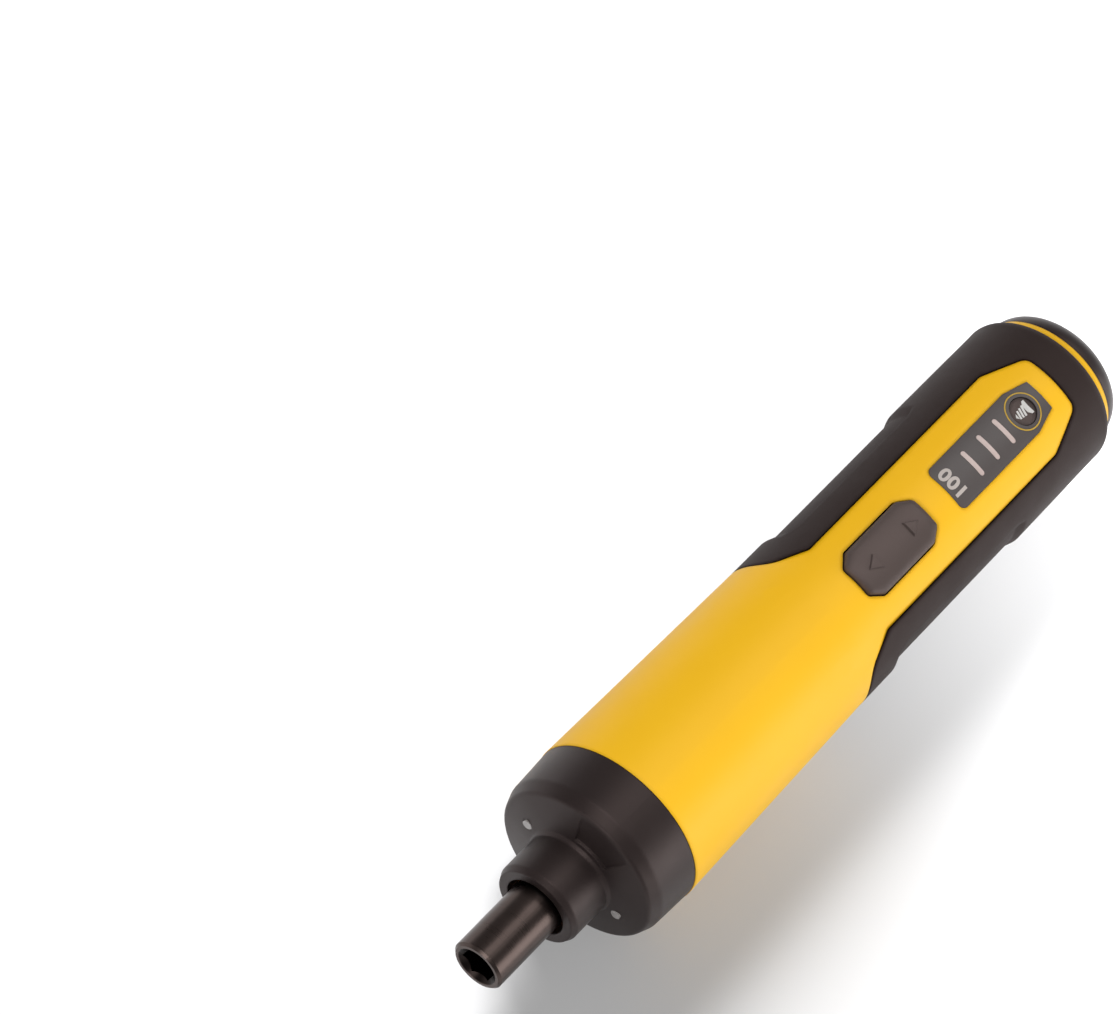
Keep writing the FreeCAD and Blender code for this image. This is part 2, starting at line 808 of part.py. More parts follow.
def bit_magnet():
    body = node("bit_magnet", new_body("bit_magnet"))
    along(body, "MagnetDisc", [("circle", "0", "0", "magnet_radius")],
          "socket_depth", "socket_depth + magnet_length")


def carrier(name, bore, start, end):
    body = node(name, new_body(name))
    holes = [("circle", "0", "0", "disc_radius"), ("circle", "0", "0", bore)]
    along(body, name + "Disc", holes + round_orbit("pin_radius + press_gap"), start, end)
    return body


def pins(name, start, end):
    body = node(name, new_body(name))
    along(body, name + "Rods", round_orbit("pin_radius"), start, end)


def first_carrier():
    body = node("first_carrier", new_body("first_carrier"))
    along(body, "CarrierDisc", [("circle", "0", "0", "disc_radius")] + round_orbit("pin_radius + press_gap"),
          "disc_front", "disc_rear")
    along(body, "SunStub", [("circle", "0", "0", "stub_radius")], "second_front", "disc_front")


def gears():
    module = value("gear_module")
    thinning = value("tooth_thinning")
    sun_count, planet_count = SIZES["sun_teeth"], SIZES["planet_teeth"]
    ring_count = sun_count + 2 * planet_count
    orbit = value("planet_orbit")
    sun_tip = module * sun_count / 2 + value("sun_addendum")
    planet_tip = module * planet_count / 2 + value("planet_addendum")
    sun_root = orbit - planet_tip - value("tip_clearance")
    planet_root = orbit - sun_tip - value("tip_clearance")
    ring_tip = value("ring_pitch") - value("ring_addendum")
    start_angle = math.pi / 2
    step = 2 * math.pi / SIZES["planet_count"]

    def sun(name, bore, start, end):
        shape = extruded(tooth_wire(sun_count, sun_root, sun_tip, thinning), round_wire(value(bore)),
                         value("%s - %s" % (end, start)))
        gear(name, shape, FreeCAD.Vector(value(start), 0, 0), sun_turn(start_angle))

    sun("second_sun", "stub_radius + press_gap", "second_front", "disc_front")
    sun("motor_pinion", "shaft_radius + press_gap", "first_front", "first_rear")
    for stage in ("second", "first"):
        length = value("%s_face" % stage)
        station = value("%s_front" % stage)
        for index in range(SIZES["planet_count"]):
            angle = start_angle + step * index
            shape = extruded(tooth_wire(planet_count, planet_root, planet_tip, thinning),
                             round_wire(value("pin_radius + running_gap")), length)
            place = FreeCAD.Vector(station, orbit * math.cos(angle), orbit * math.sin(angle))
            gear("%s_planet_%d" % (stage, index + 1), shape, place, planet_turn(angle))

    length = value("ring_rear - ring_front")
    shape = extruded(round_wire(value("ring_radius")),
                     ring_wire(ring_count, value("ring_root"), ring_tip, thinning), length)
    for side in (1, -1):
        height = value("lug_height")
        half = value("lug_half")
        lug_length = value("lug_length")
        low = value("ring_radius") - height
        lug = Part.makeBox(lug_length, 2 * half, 2 * height, FreeCAD.Vector(length - lug_length, -half, low))
        if side < 0:
            lug.rotate(FreeCAD.Vector(0, 0, 0), FreeCAD.Vector(1, 0, 0), 180)
        shape = shape.fuse(lug)
    gear("ring_gear", shape.removeSplitter(), FreeCAD.Vector(value("ring_front"), 0, 0), 0)


def ring_wire(teeth, root, tip, thinning):
    """The ring gear's inside: its gaps have a tooth's shape and are widened by the thinning."""
    half_step = math.pi / teeth
    wire = tooth_wire(teeth, tip, root, -thinning)
    wire.rotate(FreeCAD.Vector(0, 0, 0), FreeCAD.Vector(1, 0, 0), math.degrees(half_step))
    return wire


# Nose: cap, bush and work lights

def nose_cap():
    body = node("nose_cap", new_body("nose_cap"))
    cove_station = "face_root + collar_cove * face_slope"
    shoulder = "skirt_radius - nose_bevel_step"
    turned = turn(body, "NoseTurned", [
        ("bit_reach", "mouth_edge"),
        ("bit_reach", "collar_radius - collar_bevel"),
        ("bit_reach + collar_bevel_length", "collar_radius"),
        ("face_root - collar_cove", "collar_radius"),
        (cove_station, "collar_radius + collar_cove"),
        ("face_edge", "face_radius"),
        ("bevel_end", shoulder),
        ("body_front", "skirt_radius"),
        ("body_front", "skirt_bore"),
        ("neck_front - fit", "skirt_bore"),
        ("neck_front - fit", "ring_radius + fit"),
        ("face_back", "ring_radius + fit"),
        ("face_back", "bush_radius + fit"),
        ("bush_front", "bush_radius + fit"),
        ("bush_front", "mouth_edge"),
    ])
    collar_edge = "bit_reach + collar_bevel_length"
    eased = soften(body, turned, "CollarRound", "collar_round", ring_at(collar_edge, "collar_radius"))
    eased = soften(body, eased, "FaceRound", "face_round", ring_at("face_edge", "face_radius"))
    soften(body, eased, "ShoulderRound", "shoulder_round", ring_at("bevel_end", shoulder))
    along(body, "LightHoles", pair("light_offset", "lens_radius + fit"), "face_root", "face_back", cut=True)
    notch = [
        ("face_root", "notch_root"),
        ("notch_front + notch_depth", "notch_root"),
        ("notch_end - notch_fade", "notch_rim"),
        ("face_root", "notch_rim"),
    ]
    turn(body, "FaceNotch", notch, cut=True, sweep="notch_angle")


def nose_pieces():
    sleeve("spindle_bush", "bush_bore", "bush_radius", "bush_front", "bush_rear")
    light_face = "face_root + (light_offset - collar_radius) * face_slope"
    lenses = node("work_light_lenses", new_body("work_light_lenses"))
    along(lenses, "LensRods", pair("light_offset", "lens_radius"),
          light_face + " - lens_stand", "face_back - led_height - fit")
    leds = node("work_light_leds", new_body("work_light_leds"))
    along(leds, "LedRods", pair("light_offset", "led_radius"), "face_back - led_height", "face_back")
    sleeve("led_board", "led_board_inner", "ring_radius", "face_back", "ring_front")


# Motor

def motor_fixed():
    plate = node("motor_plate", new_body("motor_plate"))
    along(plate, "PlateDisc", [("circle", "0", "0", "ring_radius"),
                               ("circle", "0", "0", "motor_boss_radius + fit")]
          + pair("plate_screw_offset", "plate_screw_radius + fit"), "ring_rear", "can_front")
    along(plate, "PlateSinks", pair("plate_screw_offset", "plate_head_radius + fit"),
          "ring_rear", "ring_rear + plate_head_height", cut=True)

    screws = node("motor_screws", new_body("motor_screws"))
    along(screws, "MotorScrewShanks", pair("plate_screw_offset", "plate_screw_radius"),
          "ring_rear + plate_head_height", "can_front + plate_screw_grip")
    along(screws, "MotorScrewHeads", pair("plate_screw_offset", "plate_head_radius"),
          "ring_rear", "ring_rear + plate_head_height")

    can = node("motor_can", new_body("motor_can"))
    turn(can, "CanTurned", [
        ("ring_rear + boss_step", "bearing_radius + press_gap"),
        ("ring_rear + boss_step", "motor_boss_radius"),
        ("can_front", "motor_boss_radius"),
        ("can_front", "motor_radius"),
        ("can_rear", "motor_radius"),
        ("can_rear", "can_bore"),
        ("can_front + can_wall", "can_bore"),
        ("can_front + can_wall", "bearing_radius + press_gap"),
    ])
    along(can, "CanScrewHoles", pair("plate_screw_offset", "plate_screw_radius + press_gap"),
          "can_front", "can_front + can_wall", cut=True)

    sleeve("motor_bearing", "shaft_radius + running_gap", "bearing_radius",
           "ring_rear + boss_step", "ring_rear + boss_step + bearing_length")

    magnets = node("motor_magnets", new_body("motor_magnets"))
    arc = [
        ("can_front + magnet_setback", "magnet_inner"),
        ("can_front + magnet_setback", "can_bore - seat_gap"),
        ("stack_rear + magnet_setback", "can_bore - seat_gap"),
        ("stack_rear + magnet_setback", "magnet_inner"),
    ]
    turn(magnets, "UpperMagnet", arc, sweep="magnet_angle")
    turn(magnets, "LowerMagnet", arc, sweep="magnet_angle", below=True)

    cap = node("motor_end_cap", new_body("motor_end_cap"))
    along(cap, "MotorCapDisc", [("circle", "0", "0", "motor_radius"),
                                ("circle", "0", "0", "shaft_radius + running_gap")],
          "can_rear", "motor_cap_rear")
    along(cap, "MotorCapBoss", [("circle", "0", "0", "motor_cap_boss_radius"),
                                ("circle", "0", "0", "shaft_radius + running_gap")],
          "motor_cap_rear", "shaft_rear")

    brushes = node("motor_brushes", new_body("motor_brushes"))
    near = "commutator_radius + running_gap"
    far = "commutator_radius + brush_reach"
    boxes = [flat_box(near, far, "-brush_half", "brush_half"), flat_box("-(%s)" % far, "-(%s)" % near,
                                                                       "-brush_half", "brush_half")]
    along(brushes, "BrushBlocks", boxes, "can_rear - brush_length", "can_rear")

    terminals = node("motor_terminals", new_body("motor_terminals"))
    blades = []
    for side in ("terminal_offset", "-terminal_offset"):
        blades.append(flat_box("%s - terminal_thickness / 2" % side, "%s + terminal_thickness / 2" % side,
                               "-terminal_half", "terminal_half"))
    along(terminals, "TerminalBlades", blades, "motor_cap_rear", "terminal_end")


def flat_box(left, right, low, high):
    return [(left, low), (right, low), (right, high), (left, high)]


def rotor():
    shaft = node("motor_shaft", new_body("motor_shaft"))
    along(shaft, "ShaftRod", [("circle", "0", "0", "shaft_radius")], "first_front", "shaft_rear")

    stack = node("armature", new_body("armature"))
    along(stack, "ArmatureStack", [("circle", "0", "0", "stack_radius"),
                                   ("circle", "0", "0", "shaft_radius + press_gap")],
          "stack_front", "stack_rear")
    slot = flat_box("-slot_half", "slot_half", "slot_root", "stack_radius + air_gap")
    cut = along(stack, "ArmatureSlot", [slot], "stack_front", "stack_rear", cut=True)
    repeat(stack, cut, "ArmatureSlots", "pole_count")

    coils = node("armature_coils", new_body("armature_coils"))
    coil = flat_box("-(slot_half - coil_gap)", "slot_half - coil_gap",
                    "slot_root + coil_gap", "stack_radius - slot_half")
    wound = along(coils, "ArmatureCoil", [coil], "stack_front - coil_overhang", "stack_rear + coil_overhang")
    repeat(coils, wound, "ArmatureCoils", "pole_count")

    sleeve("commutator", "shaft_radius + press_gap", "commutator_radius", "commutator_front",
           "can_rear - seat_gap")


# Housing halves

def skin_outline():
    return [
        ("neck_front", "0"),
        ("neck_front", "neck_radius"),
        ("body_front", "neck_radius"),
        ("body_front", "body_radius"),
        ("grip_front", "grip_front_radius"),
        ("grip_front", "core_radius"),
        ("core_end", "core_radius"),
        ("core_end", "core_end_radius"),
        ("grip_rear", "core_end_radius"),
        ("grip_rear", "0"),
    ]


def bay_outline():
    """The hollow: a seat for the ring gear, two ribs round the motor and the cell's bay."""
    gear_seat, motor_seat = "ring_radius + fit", "motor_radius + fit"
    return [
        ("neck_front", "0"),
        ("neck_front", gear_seat),
        ("can_front", gear_seat),
        ("can_front", "bay_radius"),
        ("can_front + rib_inset", "bay_radius"),
        ("can_front + rib_inset", motor_seat),
        ("can_front + rib_inset + rib_width", motor_seat),
        ("can_front + rib_inset + rib_width", "bay_radius"),
        ("can_rear - rib_inset - rib_width", "bay_radius"),
        ("can_rear - rib_inset - rib_width", motor_seat),
        ("can_rear - rib_inset", motor_seat),
        ("can_rear - rib_inset", "bay_radius"),
        ("bay_end", "bay_radius - rear_wall_start"),
        ("bay_end", "rear_bay_radius"),
        ("grip_rear", "rear_bay_radius"),
        ("grip_rear", "0"),
    ]


def screw_circles(radius):
    circles = []
    for station in ("front_screw", "rear_screw"):
        for side in ("screw_offset", "-screw_offset"):
            circles.append(("circle", station, side, radius))
    return circles


def trim_bosses(body, name, below):
    """Takes off what the screw bosses push through the skin."""
    turn(body, name, [
        ("body_front", "body_radius"),
        ("grip_front", "grip_front_radius"),
        ("grip_front", "core_radius"),
        ("core_end", "core_radius"),
        ("core_end", "far_radius"),
        ("body_front", "far_radius"),
    ], cut=True, below=below)


def lug_slot(body, name, low, high):
    slot = flat_box("ring_rear - lug_length - fit", "ring_rear", "-(lug_half + fit)", "lug_half + fit")
    upright(body, name, [slot], low, high, cut=True)


def rocker_outline(grow):
    """The rocker's eight-sided outline, grown by a gap."""
    return mirrored([
        ("rocker_front - %s" % grow, "rocker_end_half + %s / 2" % grow),
        ("rocker_front + rocker_corner - %s / 2" % grow, "rocker_half + %s" % grow),
        ("rocker_rear - rocker_corner + %s / 2" % grow, "rocker_half + %s" % grow),
        ("rocker_rear + %s" % grow, "rocker_end_half + %s / 2" % grow),
    ])


def panel_outline(grow):
    """The panel's outline: rounded at the front and drawn in behind the button."""
    front, half = "panel_front - %s" % grow, "panel_half + %s" % grow
    return mirrored([
        (front, "%s - panel_corner" % half, "-panel_corner"),
        ("%s + panel_corner" % front, half),
        ("panel_rear - panel_taper", half),
        ("panel_rear + %s" % grow, "panel_end_half + %s" % grow),
    ])


def bar_outlines(grow):
    bars = []
    for index in range(SIZES["bar_count"]):
        station = "first_bar + bar_pitch * %d" % index
        bars.append(rounded_box("%s - bar_half_width - %s" % (station, grow),
                                "%s + bar_half_width + %s" % (station, grow),
                                "-(bar_half_length + %s)" % grow, "bar_half_length + %s" % grow,
                                "bar_corner"))
    return bars


def tongue_outline(grow="0"):
    """The tongue from above: as wide as the body, then a flare, straight sides and a drawn-in tail."""
    return mirrored([
        ("body_front", "far_radius"),
        (f"grip_front + {grow}", "far_radius"),
        (f"grip_front + {grow}", "flare_half + flare_reach", f"flare_radius - {grow}"),
        (f"grip_front + flare_reach * cos(flare_angle) + {grow} * sin(flare_angle)",
         f"flare_half - flare_reach * sin(flare_angle) + {grow} * cos(flare_angle)"),
        (f"flare_end - flare_bend_reach * cos(flare_angle) + {grow} * sin(flare_angle)",
         f"tongue_half + flare_bend_reach * sin(flare_angle) + {grow} * cos(flare_angle)",
         f"tongue_bend - {grow}"),
        ("flare_end + flare_bend_reach", f"tongue_half + {grow}"),
        ("tongue_straight_end - tail_bend_reach", f"tongue_half + {grow}", f"-(tongue_bend + {grow})"),
        (f"tongue_straight_end + tail_bend_reach * cos(tail_angle) + {grow} * sin(tail_angle)",
         f"tongue_half - tail_bend_reach * sin(tail_angle) + {grow} * cos(tail_angle)"),
        (f"tongue_end - tail_reach * cos(tail_angle) + {grow} * sin(tail_angle)",
         f"tail_half + tail_reach * sin(tail_angle) + {grow} * cos(tail_angle)", f"-(tail_round + {grow})"),
        (f"tongue_end + {grow}", "tail_half - tail_reach"),
    ])


def tongue_prism(name, grow="0"):
    body = new_body(name)
    upright(body, name + "Block", [tongue_outline(grow)], "0", "far_radius")
    return body


def upper_shell():
    core = new_body("UpperCore")
    turn(core, "UpperSkin", skin_outline(), sweep="180")
    turn(core, "UpperBay", bay_outline(), cut=True)
    upright(core, "UpperBosses", screw_circles("boss_radius"), "0", "core_radius")
    trim_bosses(core, "UpperTrim", below=False)
    upright(core, "UpperPilots", screw_circles("screw_radius + press_gap"), "0",
            "screw_depth + screw_tip_room", cut=True)
    ears = []
    for near, far in (("ear_inner", "ear_outer"), ("-ear_outer", "-ear_inner")):
        ears.append(flat_box("hinge_station - ear_half", "hinge_station + ear_half", near, far))
    upright(core, "HingeEars", ears, "hinge_height - ear_depth", "hinge_height + ear_rise")
    lug_slot(core, "UpperLugSlot", "ring_radius - lug_height", "ring_radius + lug_height + fit")

    strip = new_body("TongueStrip")
    turn(strip, "TongueTurned", [
        ("grip_front", "rear_bay_radius"),
        ("grip_front", "grip_front_radius"),
        ("grip_front + tongue_settle", "tongue_radius"),
        ("tongue_end", "tongue_radius"),
        ("tongue_end", "rear_bay_radius"),
    ], sweep="180")
    tongue = joined("Common", "Tongue", strip, tongue_prism("TongueShape"))
    whole = fused("UpperWhole", [core, tongue])

    openings = new_body("TopOpenings")
    well = upright(openings, "RockerOpening", [rocker_outline("rocker_gap")], "board_top", "far_radius")
    soften(openings, well, "RockerOpeningCorners", "rocker_round + rocker_gap", upright_edge)
    upright(openings, "BarOpenings", bar_outlines("fit"), "board_top", "far_radius")
    upright(openings, "ButtonOpening", [("circle", "button_centre", "0",
                                         "button_radius + button_flange + button_hole_gap")],
            "board_top", "far_radius")
    sideways(openings, "HingeHole", [("circle", "hinge_station", "hinge_height",
                                      "hinge_pin_radius + running_gap")],
             "rocker_half + hinge_pin_reach + seat_gap")
    seat = new_body("PanelSeat")
    upright(seat, "PanelSeatBlock", [panel_outline("fit")], "board_top", "far_radius")
    turn(seat, "PanelSeatFloor", [
        ("panel_front - far_radius", "0"),
        ("panel_front - far_radius", "panel_floor"),
        ("panel_rear + far_radius", "panel_floor"),
        ("panel_rear + far_radius", "0"),
    ], cut=True)
    node("upper_shell", joined("Cut", "UpperShell", whole, fused("TopCuts", [openings, seat])))


def lower_shell():
    body = node("lower_shell", new_body("lower_shell"))
    turn(body, "LowerSkin", skin_outline(), sweep="180", below=True)
    turn(body, "LowerBay", bay_outline(), cut=True)
    upright(body, "LowerBosses", screw_circles("boss_radius"), "-core_radius", "0")
    trim_bosses(body, "LowerTrim", below=True)
    upright(body, "LowerScrewHoles", screw_circles("screw_radius + screw_hole_gap"), "-head_seat", "0",
            cut=True)
    upright(body, "LowerScrewWells", screw_circles("head_radius + head_gap"), "-far_radius", "-head_seat",
            cut=True)
    lug_slot(body, "LowerLugSlot", "-(ring_radius + lug_height + fit)", "-(ring_radius - lug_height)")
    underside_flat(body, "LowerFlat", "body_front", "body_radius - skin_flat",
                   "grip_front", "grip_front_radius - skin_flat")


def underside_flat(body, name, front, front_depth, rear, rear_depth):
    """A shallow flat along the underside, which keeps the tool from rolling."""
    sideways(body, name, [[
        (front, "-(%s)" % front_depth),
        (front, "-far_radius"),
        (rear, "-far_radius"),
        (rear, "-(%s)" % rear_depth),
    ]], "far_radius", cut=True)


def housing_screws():
    body = node("housing_screws", new_body("housing_screws"))
    upright(body, "HousingShanks", screw_circles("screw_radius"), "-head_seat", "screw_depth")
    upright(body, "HousingHeads", screw_circles("head_radius"), "-(head_seat + head_height)", "-head_seat")


# Rubber grip, in two halves

def grip_outline():
    return [
        ("grip_front", "core_radius"),
        ("grip_front", "groove_floor"),
        ("grip_front + groove_width", "groove_floor"),
        ("grip_front + groove_width", "grip_front_radius"),
        ("grip_rear - grip_round_length", "grip_rear_radius", "-grip_round"),
        ("grip_rear", "grip_end_radius"),
        ("grip_rear", "core_end_radius"),
        ("core_end", "core_end_radius"),
        ("core_end", "core_radius"),
    ]


def finger_recess():
    ring = new_body("RecessRing")
    turn(ring, "RecessTurned", [
        ("recess_start", "grip_front_radius"),
        ("recess_start + recess_ramp", "recess_floor"),
        ("recess_end - recess_ramp", "recess_floor"),
        ("recess_end", "grip_front_radius"),
        ("recess_end", "far_radius"),
        ("recess_start", "far_radius"),
    ])
    slot = new_body("RecessSlot")
    oblong = rounded_box("recess_start", "recess_end", "-recess_half", "recess_half", "recess_corner")
    for name, seat, away in (("Right", "recess_seat", False), ("Left", "-recess_seat", True)):
        sketch = draw(slot, "Recess%sOutline" % name, "XZ_Plane", [oblong], seat)
        flare = slot.newObject("PartDesign::Pad", "Recess%sSlot" % name)
        flare.Profile = sketch
        flare.Reversed = away
        flare.setExpression("Length", bound("far_radius - recess_seat"))
        flare.setExpression("TaperAngle", bound("recess_flare"))
    return joined("Common", "FingerRecess", ring, slot)


def edge_groove():
    """The narrow groove that parts the rubber from the tongue."""
    ring = new_body("GrooveRing")
    turn(ring, "GrooveTurned", [
        ("grip_front", "groove_floor"),
        ("grip_rear", "groove_floor"),
        ("grip_rear", "far_radius"),
        ("grip_front", "far_radius"),
    ], sweep="180")
    return joined("Common", "EdgeGroove", ring, tongue_prism("GrooveShape", "groove_width"))


def grips():
    recess = finger_recess()
    upper = new_body("UpperRubber")
    turn(upper, "UpperRubberTurned", grip_outline(), sweep="180")
    upright(upper, "UpperRubberTongue", [tongue_outline()], "0", "far_radius", cut=True)
    node("upper_grip", joined("Cut", "UpperGrip", upper, fused("GripCuts", [recess, edge_groove()])))
    lower = new_body("LowerRubber")
    turn(lower, "LowerRubberTurned", grip_outline(), sweep="180", below=True)
    upright(lower, "LowerRubberWells", screw_circles("head_radius + head_gap"), "-far_radius", "-head_seat",
            cut=True)
    underside_flat(lower, "LowerRubberFlat", "grip_front", "grip_front_radius - grip_flat",
                   "grip_rear", "grip_rear_radius - grip_flat")
    node("lower_grip", joined("Cut", "LowerGrip", lower, recess))


# Rear end: accent ring, end cap, charging socket and charge board

def end_cap():
    body = node("end_cap", new_body("end_cap"))
    turn(body, "EndCapTurned", [
        ("core_end", "cap_bore"),
        ("core_end", "cap_spigot"),
        ("accent_rear", "cap_spigot"),
        ("accent_rear", "dome_radius", "-dome_shoulder"),
        ("crown_join", "crown_join_radius", "-crown_radius"),
        ("dome_end", "0"),
        ("cap_pocket_end", "0"),
        ("cap_pocket_end", "cap_pocket_radius"),
        ("cap_bay_end", "cap_pocket_radius"),
        ("cap_bay_end", "cap_bore"),
    ])
    port = rounded_box("-(port_half_width + seat_gap)", "port_half_width + seat_gap",
                       "-(port_half_height + seat_gap)", "port_half_height + seat_gap", "port_corner")
    along(body, "PortHole", [port], "cap_pocket_end", "dome_end", cut=True)


def rear_pieces():
    ring = node("accent_ring", new_body("accent_ring"))
    turn(ring, "AccentTurned", [
        ("grip_rear", "cap_spigot + fit"),
        ("grip_rear", "dome_radius + accent_step"),
        ("accent_rear", "dome_radius"),
        ("accent_rear", "cap_spigot + fit"),
    ])
    socket = node("usb_socket", new_body("usb_socket"))
    outside = rounded_box("-port_half_width", "port_half_width", "-port_half_height", "port_half_height",
                          "port_corner")
    inner_half_width, inner_half_height = "port_half_width - port_wall", "port_half_height - port_wall"
    inside = rounded_box("-(%s)" % inner_half_width, inner_half_width,
                         "-(%s)" % inner_half_height, inner_half_height, "port_inner_corner")
    along(socket, "SocketShell", [outside], "port_front", "port_rear")
    along(socket, "SocketMouthCut", [inside], "port_front + port_back", "port_rear", cut=True)
    blade = node("usb_contact_tongue", new_body("usb_contact_tongue"))
    along(blade, "ContactTongue", [flat_box("-port_tongue_half", "port_tongue_half",
                                            "-port_tongue_thickness / 2", "port_tongue_thickness / 2")],
          "port_front + port_back", "port_rear - port_tongue_sink")
    board = node("charge_board", new_body("charge_board"))
    along(board, "ChargeBoardPlate", [flat_box("-charge_board_half", "charge_board_half",
                                               "-(port_half_height + charge_board_thickness)",
                                               "-port_half_height")],
          "core_end + charge_board_inset", "cap_pocket_end - charge_board_edge")


# Cell and control board

def power():
    cell = node("battery_cell", new_body("battery_cell"))
    along(cell, "CellCan", [("circle", "0", "-cell_drop", "cell_radius")], "cell_front", "cell_rear")
    tabs = node("battery_tabs", new_body("battery_tabs"))
    for name, near, far, lap_end in (
            ("Front", "cell_front - tab_thickness", "cell_front", "cell_front + tab_lap"),
            ("Rear", "cell_rear", "cell_rear + tab_thickness", "cell_rear - tab_lap")):
        post = flat_box("-tab_half", "tab_half", "-(cell_drop + tab_drop)", "board_height")
        along(tabs, name + "Tab", [post], near, far)
        low, high = (far, lap_end) if name == "Front" else (lap_end, near)
        lap = flat_box("-tab_half", "tab_half", "board_height - tab_thickness", "board_height")
        along(tabs, name + "TabLap", [lap], low, high)
    board = node("control_board", new_body("control_board"))
    upright(board, "ControlBoardPlate", [flat_box("board_front", "board_rear", "-board_half", "board_half")],
            "board_height", "board_top")


def lead_path(points, bend):
    """Straight runs joined by tangent arcs."""
    edges = []
    start = points[0]
    for before, corner, after in zip(points, points[1:], points[2:]):
        into = (corner - before).normalize()
        out = (after - corner).normalize()
        half = into.getAngle(out) / 2
        inward = (out - into).normalize()
        centre = corner + inward * (bend / math.cos(half))
        reach = bend * math.tan(half)
        edges.append(Part.LineSegment(start, corner - into * reach))
        edges.append(Part.Arc(corner - into * reach, centre - inward * bend, corner + out * reach))
        start = corner + out * reach
    edges.append(Part.LineSegment(start, points[-1]))
    return Part.Wire([edge.toShape() for edge in edges])


def lead_pair(name, route):
    """Two insulated leads along a route of (station, across, up), one each side of the middle."""
    radius = value("lead_radius")
    leads = []
    for side in (1, -1):
        points = [FreeCAD.Vector(value(x), side * value(y), value(z)) for x, y, z in route]
        path = lead_path(points, value("lead_bend"))
        section = Part.Wire([Part.makeCircle(radius, points[0], points[1] - points[0])])
        lead = path.makePipeShell([section], True, False)
        ideal = math.pi * radius ** 2 * path.Length
        if abs(lead.Volume / ideal - 1) > 0.01:
            raise RuntimeError("%s is %.3f of its section times its length" % (name, lead.Volume / ideal))
        leads.append(lead)
    item = node(name, doc.addObject("Part::Feature", name))
    item.Shape = Part.makeCompound(leads)


def leads():
    lead_pair("motor_leads", [
        ("terminal_end", "terminal_offset", "0"),
        ("terminal_end + lead_exit", "terminal_offset", "0"),
        ("front_screw - lead_turn", "lead_offset", "lead_height / 2"),
        ("board_front - lead_rise", "lead_offset", "lead_height"),
        ("board_front + lead_lap", "lead_offset", "lead_height"),
    ])
    lead_pair("charge_leads", [
        ("lead_start", "lead_offset", "lead_floor"),
        ("core_end - lead_tail", "lead_offset", "lead_floor"),
        ("board_rear + lead_rise", "lead_offset", "lead_height"),
        ("board_rear - lead_lap", "lead_offset", "lead_height"),
    ])


def square(station, half):
    return flat_box("%s - %s" % (station, half), "%s + %s" % (station, half), "-%s" % half, half)


def switch(name, stations):
    body = node(name, new_body(name))
    upright(body, name + "Case", [square(station, "switch_half") for station in stations],
            "board_top", "switch_top")
    bores = [("circle", station, "0", "plunger_radius + running_gap") for station in stations]
    upright(body, name + "Bore", bores, "plunger_base - plunger_room", "switch_top", cut=True)


def plunger(name, station, top):
    body = node(name, new_body(name))
    upright(body, name + "Rod", [("circle", station, "0", "plunger_radius")], "plunger_base", top)


def switches():
    front, rear = "hinge_station - foot_offset", "hinge_station + foot_offset"
    switch("rocker_switches", [front, rear])
    plunger("front_plunger", front, "plunger_top")
    plunger("rear_plunger", rear, "plunger_top")
    switch("mode_switch", ["button_centre"])
    plunger("mode_plunger", "button_centre", "mode_plunger_top")
    leds = node("indicator_leds", new_body("indicator_leds"))
    chips = [square("first_bar + bar_pitch * %d" % index, "bar_led_half")
             for index in range(SIZES["bar_count"])]
    upright(leds, "IndicatorChips", chips, "board_top", "board_top + bar_led_height")


# Controls on the tongue

def rocker():
    body = node("rocker", new_body("rocker"))
    block = upright(body, "RockerBlock", [rocker_outline("0")], "rocker_base", "rocker_radius + crown_stock")
    soften(body, block, "RockerCorners", "rocker_round", upright_edge)
    crown = trim(body, "RockerCrown", "rocker_radius", "rocker_front - far_radius",
                 "rocker_rear + far_radius")
    soften(body, crown, "RockerEdge", "rocker_edge", rim_of_cylinder(crown, "rocker_radius"))
    upright(body, "RockerHollow", [rocker_outline("-rocker_wall")], "rocker_base",
            "rocker_ceiling - rocker_edge", cut=True)
    feet = [("circle", "hinge_station - foot_offset", "0", "foot_radius"),
            ("circle", "hinge_station + foot_offset", "0", "foot_radius")]
    upright(body, "RockerFeet", feet, "rocker_base", "rocker_ceiling")
    for name, start, end in (("RightPin", "rocker_half - rocker_wall", "rocker_half + hinge_pin_reach"),
                             ("LeftPin", "-(rocker_half + hinge_pin_reach)", "-(rocker_half - rocker_wall)")):
        raise_from(body, "Rocker" + name, "XZ_Plane",
                   [("circle", "hinge_station", "hinge_height", "hinge_pin_radius")], start, end)


